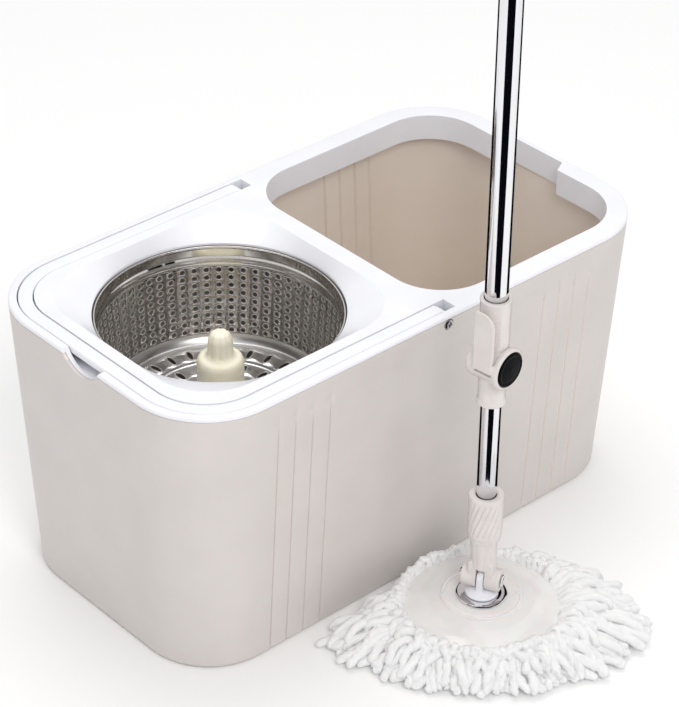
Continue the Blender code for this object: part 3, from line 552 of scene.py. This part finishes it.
def screw(name, matrix, radius, bottom, top, body, node):
    """A domed screw head with a cross recess, along the matrix's Z."""
    bm = bmesh.new()
    profile = [(0, bottom), (radius * 0.55, bottom), (radius * 0.55, top - 0.0016), (radius, top - 0.0015),
               (radius, top - 0.0009), (radius * 0.72, top - 0.0002), (0, top)]
    turned(bm, softened(profile, 0.0003, closed=False), 40, matrix)
    head = finished(name, bm, STEEL, sharp=50)
    arm = radius * 0.62
    width = radius * 0.14
    tools = []
    for index, (x, y) in enumerate(((arm, width), (width, arm))):
        outline = [(-x, -y), (x, -y), (x, y), (-x, y)]
        spin = matrix @ Matrix.Rotation(radians(20), 4, "Z")
        tools.append(prism_tool(f"cross_{index}", outline, top - 0.0009, top + 0.002, spin))
    carved(head, tools)
    put(head, body, "steel", node)


def screws():
    face = wall_y(PIVOT_Z) - 0.0012 + GAP
    for side, word in ((-1, "near"), (1, "far")):
        line = axes(X_AXIS, -Z_AXIS, Y_AXIS * side, (PIVOT_X, 0, PIVOT_Z))
        screw(f"handle_screw_{word}_look", line, SCREW_HEAD_RADIUS, 0.112, face + 0.0022, "bucket",
              f"handle_screw_{word}")
    for index in range(3):
        angle = 2 * pi * index / 3 + pi / 6
        line = about(BASKET_X + 0.0248 * cos(angle), 0.0248 * sin(angle), angle)
        screw(f"hub_screw_{index + 1}_look", line, 0.0030, 0.1459, 0.1484, "basket", f"hub_screw_{index + 1}")


def drain_plug():
    inside = bucket_size(DRAIN_Z, 0)[0] - WALL
    line = axes(-Z_AXIS, Y_AXIS, X_AXIS, (0, DRAIN_Y, DRAIN_Z))
    profile = [(0, inside - 0.0040), (0.0042, inside - 0.0040), (0.0052, inside - 0.0058),
               (0.0076, inside - 0.0058), (0.0084, inside - 0.0046), (0.0084, inside - 0.0027),
               (0.0061, inside - 0.0027), (0.0061, inside + WALL), (0, inside + WALL)]
    bm = bmesh.new()
    turned(bm, softened(profile, 0.0006, closed=False), 64, line)
    put(finished("drain_plug_look", bm, CHROME), "plug", "chrome", "drain_plug")


# Basket and spindle.

def pierced(bm, columns, rows, place, hole_x, hole_y, lip):
    """Cells with a hole each and a raised lip round it, in the second material. Place maps cells to points."""
    steps = 16
    for column in range(columns):
        for row in range(rows):
            loops = []
            for size, lift in ((1.0, lip), (1.14, lip), (1.32, 0.0), (None, 0.0)):
                loop = []
                for i in range(steps):
                    angle = 2 * pi * i / steps
                    x, y = cos(angle), sin(angle)
                    if size is None:
                        reach = 0.5 / max(abs(x), abs(y))
                        x, y = x * reach, y * reach
                    else:
                        x, y = x * hole_x * size, y * hole_y * size
                    loop.append(bm.verts.new(place(column + 0.5 + x, row + 0.5 + y, lift)))
                loops.append(loop)
            for inner, outer in zip(loops, loops[1:]):
                for i in range(steps):
                    j = (i + 1) % steps
                    face = bm.faces.new((inner[i], inner[j], outer[j], outer[i]))
                    face.material_index = 0 if outer is loops[-1] else 1


def basket():
    low_z, high_z = 0.1480, 0.2076
    low_r, high_r = 0.0876, 0.0916

    def on_wall(column, row, lift):
        share = row / HOLE_ROWS
        angle = 2 * pi * column / HOLE_COLUMNS
        radius = low_r + (high_r - low_r) * share - lift
        return (radius * cos(angle), radius * sin(angle), low_z + (high_z - low_z) * share)

    bm = bmesh.new()
    cell_x = 2 * pi * low_r / HOLE_COLUMNS
    cell_y = (high_z - low_z) / HOLE_ROWS
    pierced(bm, HOLE_COLUMNS, HOLE_ROWS, on_wall, HOLE_RADIUS / cell_x, HOLE_RADIUS / cell_y, 0.00022)
    # The drum wall takes the darker steel of painted shade.
    wall = finished("basket_wall_look", bm, DRUM_STEEL_PAINTED_SHADE, BASKET_AXIS, sharp=50)
    wall.data.materials.append(LIP_STEEL_PAINTED_HIGHLIGHT)
    # The drum's hole lips take the brighter steel of the painted highlight.
    thick = wall.modifiers.new("sheet", "SOLIDIFY")
    thick.thickness = 0.0007
    thick.offset = 0
    put(baked(wall), "basket", "stainless", "basket_drum")

    rim = bmesh.new()
    profile = [(0.0912, 0.2074), (0.0920, 0.2074), (0.0925, 0.2084), (0.0935, 0.2096), (0.0935, 0.2126),
               (0.0924, 0.2140), (0.0932, 0.2166), (0.0939, 0.2235), (0.0935, RIM_Z), (0.0925, RIM_Z),
               (0.0920, 0.2230), (0.0917, 0.2166), (0.0905, 0.2144), (0.0918, 0.2128), (0.0918, 0.2104),
               (0.0912, 0.2090)]
    turned(rim, softened(profile, 0.0007), FINE)
    put(finished("basket_rim_look", rim, STAINLESS, BASKET_AXIS), "basket", "stainless", "basket_drum")

    def on_floor(inner, outer, slots):
        def place(column, row, lift):
            radius = inner + (outer - inner) * row
            angle = 2 * pi * column / slots
            return (radius * cos(angle), radius * sin(angle), BASKET_FLOOR_Z + SHEET - 0.0004 + lift)
        return place

    floor = bmesh.new()
    for inner, outer, slots, hole_x in ((0.0405, 0.0570, 18, 0.13), (0.0610, 0.0785, 28, 0.12)):
        pierced(floor, slots, 1, on_floor(inner, outer, slots), hole_x, 0.33, 0.0003)
    sheet = finished("basket_slots_look", floor, SATIN_STEEL, BASKET_AXIS, sharp=50)
    sheet.data.materials.append(LIP_STEEL_PAINTED_HIGHLIGHT)
    # The floor's slot lips take the brighter steel of the painted highlight.
    thick = sheet.modifiers.new("sheet", "SOLIDIFY")
    thick.thickness = 0.0007
    thick.offset = 0
    put(baked(sheet), "basket", "stainless", "basket_drum")

    level = BASKET_FLOOR_Z + SHEET - 0.0004
    bands = bmesh.new()
    ridge = 0.0009
    for inner, outer in ((0.0185, 0.0406), (0.0569, 0.0611)):
        middle = (inner + outer) / 2
        half = 0.0016
        top = [(inner, level), (middle - half * 2, level), (middle - half, level + ridge),
               (middle + half, level + ridge), (middle + half * 2, level), (outer, level)]
        under = [(r, z - 0.0007) for r, z in reversed(top)]
        turned(bands, softened(top + under, 0.0006), FINE)
    curve = [(0.0784, level), (0.0828, level), (0.0858, level + 0.0030), (0.0871, 0.1460), (0.0876, 0.1482)]
    back = [(r + 0.0007, z - 0.0005) for r, z in reversed(curve)]
    turned(bands, softened(curve + back, 0.0015), FINE)
    put(finished("basket_floor_look", bands, SATIN_STEEL, BASKET_AXIS), "basket", "stainless", "basket_drum")


def spindle():
    bm = bmesh.new()
    low = BASKET_FLOOR_Z + SHEET + GAP
    profile = [(SPINDLE_RADIUS + GAP, low), (FLANGE_RADIUS, low), (FLANGE_RADIUS, low + 0.0030),
               (0.0285, 0.1476), (0.0205, 0.1476), (SPINDLE_RADIUS + GAP, 0.1470)]
    turned(bm, softened(profile, 0.0009), ROUND)
    put(finished("hub_flange_look", bm, FRAME_WHITE, BASKET_AXIS), "basket", "white_plastic", "hub_flange")

    def fluted(radius, angle, height):
        if height < SPINDLE_SHOULDER_Z + 0.002 or height > SPINDLE_TOP_Z - 0.0006:
            return radius
        return radius - 0.0007 * (0.5 + 0.5 * cos(8 * angle)) ** 2

    bm = bmesh.new()
    shoulder = SPINDLE_SHOULDER_Z
    body = [(0, BASKET_FLOOR_Z), (SPINDLE_RADIUS, BASKET_FLOOR_Z), (SPINDLE_RADIUS, shoulder - 0.004),
            (SPINDLE_RADIUS - 0.0018, shoulder), (POST_RADIUS + 0.0015, shoulder + 0.0006),
            (POST_RADIUS, shoulder + 0.0035), (POST_RADIUS - 0.0006, SPINDLE_TOP_Z - 0.0060),
            (POST_RADIUS - 0.0030, SPINDLE_TOP_Z - 0.0014), (0.0040, SPINDLE_TOP_Z - 0.0002),
            (0, SPINDLE_TOP_Z)]
    turned(bm, softened(body, 0.0030, closed=False, steps=6), ROUND, radius_at=fluted)
    piece = finished("drive_spindle_look", bm, IVORY, BASKET_AXIS, sharp=60)
    put(piece, "basket", "ivory_plastic", "drive_spindle")


# Mop head.

def fringe_reach(angle):
    """Radius of the fringe's footprint in a world direction. It is squashed flat beside the bucket."""
    turned_angle = angle - FRINGE_TURN
    width = cos(turned_angle) / FRINGE_HALF_WIDTH
    depth = sin(turned_angle) / FRINGE_HALF_DEPTH
    ellipse = 1 / (width**2 + depth**2) ** 0.5
    if sin(angle) <= 0:
        return ellipse
    return min(ellipse, (FRINGE_WALL_Y - MOP_Y) / sin(angle))


def strand(bm, rng, angle, start, end, heights, width):
    """One chenille strand: it leaves the ring, humps over and hangs down to a blunt, fluffy end."""
    rings_count, sides = 15, 9
    wave, phase = rng.uniform(0.002, 0.005), rng.uniform(0, 2 * pi)
    start_z, crest_z, end_z = heights
    outward = Vector((cos(angle), sin(angle), 0))
    across = Vector((-sin(angle), cos(angle), 0))
    line = []
    for i in range(rings_count):
        t = i / (rings_count - 1)
        along = start + (end - start) * (1 - (1 - t)**1.35)
        rise = start_z + (crest_z - start_z) * sin(min(t / 0.45, 1) * pi / 2)
        drop = max(t - 0.45, 0) / 0.55
        height = rise + (end_z - crest_z) * drop**1.8
        line.append(outward * along + across * wave * sin(phase + 6 * t) * t + Vector((0, 0, height)))
    rings = []
    for i, point in enumerate(line):
        t = i / (rings_count - 1)
        ahead = (line[min(i + 1, rings_count - 1)] - line[max(i - 1, 0)]).normalized()
        side = ahead.cross(Z_AXIS).normalized()
        lift = side.cross(ahead)
        blunt = 1 - max(t - 0.90, 0) / 0.10
        radius = width * (0.35 + 0.65 * blunt**0.5) * (1 + 0.10 * sin(phase + 19 * t))
        ring = []
        for k in range(sides):
            turn = 2 * pi * k / sides
            away = side * cos(turn) + lift * sin(turn)
            spot = (point + away * width) * 420 + Vector((phase * 9, 0, 0))
            rough = noise.noise(spot) + 0.6 * noise.noise(spot * 2.7)
            place = point + away * radius * (1 + 0.40 * rough)
            place.z = max(place.z, 0.0003)
            place.y = min(place.y, FRINGE_WALL_Y - MOP_Y - 0.0002)
            ring.append(place)
        rings.append(ring)
    skin(bm, rings)


def fringe():
    rng = random.Random(11)
    layers = (
        # strands, start radius, start height, crest height, end height, least and most reach
        (92, 0.050, 0.0040, 0.0060, 0.0036, 0.93, 1.04),
        (96, 0.054, 0.0080, 0.0130, 0.0040, 0.90, 1.05),
        (92, 0.056, 0.0120, 0.0190, 0.0070, 0.82, 1.00),
        (84, 0.058, 0.0150, 0.0240, 0.0120, 0.70, 0.92),
        (74, 0.058, 0.0170, 0.0275, 0.0180, 0.58, 0.80),
    )
    bm = bmesh.new()
    for layer, (count, start, start_z, crest_z, end_z, least, most) in enumerate(layers):
        for i in range(count):
            angle = 2 * pi * (i + rng.uniform(-0.3, 0.3) + layer * 0.37) / count
            end = max((fringe_reach(angle) - 0.003) * rng.uniform(least, most), start + 0.006)
            heights = (start_z, crest_z + rng.uniform(-0.0015, 0.0015), end_z)
            strand(bm, rng, angle, start, end, heights, STRAND_RADIUS * rng.uniform(0.85, 1.15))
    put(finished("mop_fringe_look", bm, YARN_WITH_GLOW, HEAD, sharp=80), "mop_head", "fringe_yarn", "mop_fringe")


def mop_plate():
    bm = bmesh.new()
    boss = 0.0302
    profile = [(0.0042, 0.0330), (0.0270, 0.0330), (0.0280, 0.0325), (0.0288, 0.0325), (0.0296, 0.0331),
               (boss, 0.0328), (0.0312, 0.0306), (0.0400, 0.0294), (0.0490, 0.0272), (0.0570, 0.0243),
               (0.0610, 0.0222), (0.0618, 0.0223), (PLATE_RADIUS, 0.0208), (PLATE_RADIUS + 0.0002, 0.0197),
               (0.0573, 0.0217), (0.044, 0.0262), (0.0150, 0.0290), (0.0042, 0.0292)]
    turned(bm, softened(profile, 0.0009), FINE)
    tab_line = Matrix.Rotation(FRINGE_TURN - pi / 2, 4, "Z")
    near, middle, far = PLATE_RADIUS - 0.004, PLATE_RADIUS + 0.0015, PLATE_RADIUS + 0.0070
    tab = [(near, -0.0075), (middle, -0.0060), (far, -0.0022), (far, 0.0022), (middle, 0.0060), (near, 0.0075)]
    slab(bm, softened(tab, 0.002), 0.0192, 0.0212, 0.0007, tab_line)
    for side in (0, pi):
        clip = Matrix.Rotation(FRINGE_TURN + side, 4, "Z")
        outline = [(0.0262, -0.0016), (0.0290, -0.0016), (0.0290, 0.0016), (0.0262, 0.0016)]
        slab(bm, softened(outline, 0.0005), 0.0322, 0.0336, 0.0003, clip)
    put(finished("mop_plate_look", bm, PLATE_WHITE, HEAD), "mop_head", "plate_plastic", "mop_plate")

    bm = bmesh.new()
    ring = [(0.0044, 0.0333), (0.0196, 0.0333), (0.0196, 0.0341), (0.0186, 0.0349), (0.0150, 0.0344),
            (0.0044, 0.0344)]
    turned(bm, softened(ring, 0.0004), ROUND)
    put(finished("plate_washer_look", bm, CHROME, HEAD), "mop_head", "chrome", "plate_washer")

    bm = bmesh.new()
    blade = arc((0, PIN_Z), 0.0070, 0, pi, 24) + [(-0.0074, 0.0352), (0.0074, 0.0352)]
    spin = Matrix.Rotation(PIN_ANGLE, 4, "Z")
    slab(bm, blade, -0.00275, 0.00275, 0.0010, spin @ SECTION_X)
    cone = [(0, 0.0346), (0.0128, 0.0346), (0.0126, 0.0362), (0.0085, 0.0388), (0.0040, 0.0400), (0, 0.0400)]
    turned(bm, softened(cone, 0.0010, closed=False), ROUND)
    put(finished("tongue_look", bm, FRAME_WHITE, HEAD), "mop_head", "white_plastic", "tongue")


# Pole.

def fork():
    def flutes(radius, angle, height):
        return radius - 0.0005 * (0.5 + 0.5 * cos(10 * angle)) ** 3

    bm = bmesh.new()
    for side in (-1, 1):
        ends = sorted((side * 0.0034, side * (EAR_END - 0.0001)))
        profile = [(0, ends[0]), (0.0087, ends[0]), (0.0087, ends[1]), (0, ends[1])]
        turned(bm, softened(profile, 0.0010, closed=False), 64, PIN_LINE)
        inner, outer = side * 0.0034, side * 0.0098
        block = [(inner, -0.0072), (outer, -0.0072), (outer, 0.0072), (inner, 0.0072)]
        slab(bm, softened(block, 0.0010), PIN_Z, 0.0650, 0.0008)
    bridge = [(-0.0094, -0.0070), (0.0094, -0.0070), (0.0094, 0.0070), (-0.0094, 0.0070)]
    slab(bm, softened(bridge, 0.0025), 0.0585, 0.0665, 0.0010)
    socket = [(0, 0.0600), (0.0088, 0.0600), (0.0093, 0.0660), (0.0104, 0.0858), (0, 0.0858)]
    turned(bm, socket, ROUND, radius_at=flutes)
    piece = fused(finished("fork_look", bm, MOP_PLASTIC, LOWER), 0.00042, 3)
    put(piece, "lower_pole", "mop_plastic", "fork")

    bm = bmesh.new()
    profile = [(0, -0.0172), (0.0030, -0.0172), (0.0036, -0.0166), (0.0036, -0.0153), (0.0025, -0.0153),
               (0.0025, 0.0152), (0.0050, 0.0152), (0.0050, 0.0160), (0.0040, 0.0165), (0.0022, 0.0162),
               (0.0018, 0.0170), (0, 0.0172)]
    turned(bm, softened(profile, 0.0003, closed=False), 48, PIN_LINE)
    put(finished("pivot_pin_look", bm, CHROME, LOWER), "lower_pole", "chrome", "pivot_pin")


def grip_collar():
    low, high, ridges = 0.0925, 0.1235, 18

    def ridged(radius, angle, height):
        if radius < 0.0125:
            return radius
        share = min(max((height - low) / 0.0015, 0), 1) * min(max((high - height) / 0.0015, 0), 1)
        cycle = ((angle - height * 28) * ridges / (2 * pi)) % 1
        groove = max(0, 1 - abs(cycle - 0.5) / 0.17)
        return radius - 0.0009 * groove * share

    inner = LOWER_TUBE_RADIUS + GAP
    profile = [(inner, 0.0864), (0.0112, 0.0864), (0.0118, 0.0868), (0.0118, 0.0886), (0.0123, 0.0890),
               (0.0123, 0.0906), (0.0129, 0.0911)]
    heights = 44
    profile += [(0.0131, low - 0.0006 + (high + 0.0012 - low) * i / heights) for i in range(heights + 1)]
    profile += [(0.0131, 0.1250), (0.0129, 0.1262), (0.0123, 0.1268), (0.0090, 0.1268), (inner, 0.1262)]
    bm = bmesh.new()
    turned(bm, profile, ridges * 16, radius_at=ridged)
    piece = finished("grip_collar_look", bm, MOP_PLASTIC, LOWER, sharp=50)
    put(piece, "lower_pole", "mop_plastic", "grip_collar")


def tubes():
    lower = ("lower_tube_look", "lower_pole", LOWER, LOWER_TUBE_RADIUS, 0.0980, LOWER_TUBE_TOP,
             ("lower_tube", "inner_tube"))
    upper = ("upper_tube_look", "upper_pole", UPPER, UPPER_TUBE_RADIUS, SLEEVE_BOTTOM + 0.0038, UPPER_TUBE_TOP,
             ("upper_tube",))
    for name, body, place, radius, low, high, nodes in (lower, upper):
        inner = radius - TUBE_WALL
        profile = [(inner, low), (radius - 0.0002, low), (radius, low + 0.0003), (radius, high - 0.0003),
                   (radius - 0.0002, high), (inner, high)]
        bm = bmesh.new()
        turned(bm, profile, ROUND)
        put(finished(name, bm, CHROME, place), body, "chrome", *nodes)


def lock_housing():
    bm = bmesh.new()
    throat = LOWER_TUBE_RADIUS + 0.0005
    bore = UPPER_TUBE_RADIUS + 0.0002
    sleeve = [(throat, SLEEVE_BOTTOM), (0.0104, SLEEVE_BOTTOM), (0.0109, SLEEVE_BOTTOM + 0.0006),
              (0.0109, SLEEVE_BOTTOM + 0.0026), (0.0101, SLEEVE_BOTTOM + 0.0036), (0.0099, 0.2220),
              (0.0101, 0.2320), (0.0108, 0.2520), (0.0110, 0.2700), (0.0112, SLEEVE_TOP - 0.0030),
              (0.0116, SLEEVE_TOP - 0.0022), (0.0116, SLEEVE_TOP - 0.0004), (0.0112, SLEEVE_TOP),
              (bore, SLEEVE_TOP), (bore, SLEEVE_BOTTOM + 0.0035), (throat, SLEEVE_BOTTOM + 0.0035)]
    turned(bm, sleeve, ROUND)
    barrel = [(0.0095, -0.0140), (0.0128, -0.0144), (0.0140, -0.0138), (BARREL_RADIUS, -0.0124),
              (BARREL_RADIUS, 0.0108), (0.0095, 0.0108)]
    turned(bm, softened(barrel, 0.0006), ROUND, BARREL)
    housing = fused(finished("lock_housing_look", bm, MOP_PLASTIC, UPPER), 0.00045, 4)
    slit = [(-0.0052, -0.0180), (0.0095, -0.0180), (0.0095, -0.0120), (-0.0052, -0.0120)]
    carved(housing, [prism_tool("slit", slit, LOCK_Z - 0.0027, LOCK_Z - 0.0008, UPPER)])
    put(housing, "upper_pole", "mop_plastic", "lock_housing")

    bm = bmesh.new()
    lines, steps, radius = 9, 8, 0.0110
    for index in range(lines):
        base = LOCK_Z + 0.0175 + index * 0.0026
        centre = radians(-52)
        rings = []
        for i in range(steps + 1):
            share = i / steps
            angle = centre + radians(-21 + 42 * share)
            height = base - 0.0035 + 0.0070 * share
            ring = []
            for dr, dz in ((-0.0004, -0.0007), (0.0005, 0), (-0.0004, 0.0007)):
                ring.append(((radius + dr) * cos(angle), (radius + dr) * sin(angle), height + dz))
            rings.append(ring)
        skin(bm, rings)
    piece = finished("lock_hatch_look", bm, MOP_PLASTIC, UPPER, sharp=70)
    put(piece, "upper_pole", "mop_plastic", "lock_housing")


def lock_lever():
    bm = bmesh.new()
    disc = [(0.0033, 0.0112), (0.0158, 0.0112), (0.0160, 0.0118), (0.0160, 0.0142), (0.0152, 0.0154),
            (0.0146, 0.0158), (0.0138, 0.0157), (0.0136, BARREL_END), (0.0033, BARREL_END)]
    turned(bm, softened(disc, 0.0004), FINE, BARREL)
    inner = BARREL_RADIUS + GAP
    shell = arc((0, LOCK_Z), 0.0172, pi - radians(30), pi - radians(6), 20)
    shell += arc((0, LOCK_Z), inner, pi - radians(6), pi - radians(30), 20)
    slab(bm, shell, -0.0057, 0.0120, 0.0004, SECTION_X)
    tongue = [(-0.0055, LOCK_Z + 0.001), (0.0105, LOCK_Z + 0.001), (0.0125, LOCK_Z + 0.016)]
    tongue += arc((0.0024, LOCK_Z + 0.0390), 0.0101, 0, pi / 2, 16)
    tongue += arc((-0.0028, LOCK_Z + 0.0464), 0.0027, pi / 2, pi, 8)
    slab(bm, softened(tongue, 0.0006), -0.0171, -0.0151, 0.0008, SECTION_Y)
    lever = fused(finished("lock_lever_look", bm, MOP_PLASTIC, UPPER), 0.00035, 3)
    put(lever, "lever", "mop_plastic", "lock_lever")

    bm = bmesh.new()
    cap = [(0, 0.0148), (0.0133, 0.0148), (0.0133, 0.0156), (0.0126, 0.0164), (0.0112, 0.0166),
           (0.0105, 0.0163), (0.0080, 0.0166), (0, 0.0171)]
    turned(bm, softened(cap, 0.0008, closed=False), FINE, BARREL)
    put(finished("lever_cap_look", bm, GLOSS_BLACK, UPPER), "lever", "black_plastic", "lever_cap")


def top_end():
    low, high = 0.850, 0.9885
    inner = UPPER_TUBE_RADIUS + GAP

    def ribbed(radius, angle, height):
        if radius < 0.0123 or not low + 0.012 < height < high - 0.018:
            return radius
        return radius - 0.0007 * (0.5 + 0.5 * cos(16 * angle)) ** 4

    profile = [(inner, low), (0.0116, low), (0.0124, low + 0.0012), (0.0128, low + 0.0035)]
    heights = 24
    profile += [(0.0128, low + 0.0060 + (high - low - 0.0120) * i / heights) for i in range(heights + 1)]
    profile += [(0.0124, high - 0.0025), (0.0112, high - 0.0003), (0.0100, high), (0.0040, high),
                (0.0040, UPPER_TUBE_TOP + GAP), (inner, UPPER_TUBE_TOP + GAP)]
    bm = bmesh.new()
    turned(bm, profile, FINE, radius_at=ribbed)
    put(finished("top_grip_look", bm, MOP_PLASTIC, UPPER, sharp=50), "upper_pole", "mop_plastic", "top_grip")

    bm = bmesh.new()
    outline = [(-0.0085, 0.9888)] + arc((0, 1.006), 0.0100, 0.1 + pi, -0.1, 30) + [(0.0085, 0.9888)]
    slab(bm, softened(outline, 0.0006), -0.0035, 0.0035, 0.0010, SECTION_X)
    tab = finished("hanging_cap_look", bm, MOP_PLASTIC, UPPER)
    hole = axes(-Z_AXIS, Y_AXIS, X_AXIS, (0, 0, 1.006))
    carved(tab, [rod_tool("hanging_hole", 0.0045, -0.01, 0.01, UPPER @ hole)], edge=0.0005)
    put(tab, "upper_pole", "mop_plastic", "hanging_cap")


# CAD nodes that keep their shape and get a finished material.

KEPT_LOOKS = {
    SHELL: ("divider_panel",),
    RUBBER: ("foot_pad_1", "foot_pad_2", "foot_pad_3", "foot_pad_4", "drain_seal", "brake_pad"),
    GREY_PLASTIC: ("pedestal", "hub_lower", "drive_nut", "rod_anchor"),
    STEEL: ("spindle_shaft", "thrust_washer", "retaining_clip", "tongue_nut", "twisted_rod", "lever_pin"),
    BRONZE: ("lower_bush", "upper_bush"),
    FRAME_WHITE: ("fringe_ring", "guide_bush"),
    MOP_PLASTIC: ("housing_cap",),
}


def kept_nodes():
    for look, names in KEPT_LOOKS.items():
        for name in names:
            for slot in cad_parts[name].material_slots:
                slot.material = look


# Stage.

CAMERA_AZIMUTH, CAMERA_ELEVATION, CAMERA_ROLL = -42.1575, 33.5636, 0.6937
CAMERA_PLACE = (-1.16187, -1.29929, 1.31190)
CAMERA_TILT = -0.33
CAMERA_LENS = 137.2


def camera():
    data = bpy.data.cameras.new("camera")
    data.lens = CAMERA_LENS
    data.sensor_width = 36
    data.clip_start = 0.05
    obj = bpy.data.objects.new("camera", data)
    bpy.context.scene.collection.objects.link(obj)
    a, e = radians(CAMERA_AZIMUTH), radians(CAMERA_ELEVATION)
    back = Vector((sin(a) * cos(e), -cos(a) * cos(e), sin(e)))
    right = Vector((cos(a), sin(a), 0))
    up = back.cross(right)
    turn = Matrix.Rotation(radians(CAMERA_ROLL), 4, "Z") @ Matrix.Rotation(radians(CAMERA_TILT), 4, "X")
    obj.matrix_world = axes(right, up, back, CAMERA_PLACE) @ turn
    bpy.context.scene.camera = obj


def plain(name, color, roughness):
    made = bpy.data.materials.new(name)
    made.use_nodes = True
    shader = made.node_tree.nodes["Principled BSDF"]
    shader.inputs["Base Color"].default_value = (*color, 1)
    shader.inputs["Roughness"].default_value = roughness
    return made


def area_light(name, place, aim, size, power, color=(1, 1, 1)):
    data = bpy.data.lights.new(name, "AREA")
    data.shape = "DISK"
    data.size = size
    data.energy = power
    data.color = color
    obj = bpy.data.objects.new(name, data)
    bpy.context.scene.collection.objects.link(obj)
    obj.location = place
    obj.rotation_euler = (Vector(aim) - Vector(place)).to_track_quat("-Z", "Y").to_euler()


def flag(name, centre, start, end, radius, bottom, top, color=(0.004, 0.004, 0.007)):
    """A dark curved card that only reflections see: it draws the dark bands down the chrome and in the drum."""
    bm = bmesh.new()
    base = radians(CAMERA_AZIMUTH - 90)
    line = [base + radians(start + (end - start) * i / 48) for i in range(49)]
    rings = []
    for z in (bottom, top):
        rings.append([(centre[0] + radius * cos(a), centre[1] + radius * sin(a), z) for a in line])
    skin(bm, rings, around=False, caps=False)
    card = plain(f"{name}_card", color, 1.0)
    card.node_tree.nodes["Principled BSDF"].inputs["Specular IOR Level"].default_value = 0
    obj = finished(name, bm, card)
    obj.visible_camera = False
    obj.visible_diffuse = False
    obj.visible_shadow = False
    obj.visible_transmission = False


def stage():
    bm = bmesh.new()
    reach = 6.0
    rows = [[(-reach, y, 0), (reach, y, 0)] for y in (-reach, reach)]
    skin(bm, rows, around=False, caps=False)
    floor = finished("floor", bm, plain("floor_white", (0.95, 0.95, 0.95), 0.6))
    floor.location.z = -0.0002
    pole = (MOP_X, MOP_Y)
    flag("flag_front", pole, -30, 38, 0.060, 0.036, 1.3)
    flag("flag_left", pole, -168, -120, 0.058, 0.036, 1.3)
    flag("flag_right", pole, 114, 168, 0.058, 0.036, 1.3)
    flag("flag_drum", (BASKET_X, 0), -130, 130, 0.9, 0.62, 1.6, (0.020, 0.015, 0.012))
    world = bpy.data.worlds.new("studio")
    world.use_nodes = True
    background = world.node_tree.nodes["Background"]
    background.inputs["Color"].default_value = (1.0, 1.0, 1.0, 1)
    background.inputs["Strength"].default_value = 0.73
    bpy.context.scene.world = world
    area_light("key", (-0.9, -1.9, 2.2), (0, 0, 0.1), 1.2, 26, (1.0, 0.985, 0.97))
    area_light("top", (0.3, 0.5, 2.2), (0, 0, 0.1), 1.4, 12)
    settings = bpy.context.scene.view_settings
    settings.view_transform = "Standard"
    settings.look = "None"


bucket_shell()
top_frame()
carry_handle()
screws()
drain_plug()
basket()
spindle()
fringe()
mop_plate()
fork()
grip_collar()
tubes()
lock_housing()
lock_lever()
top_end()
kept_nodes()
camera()
stage()
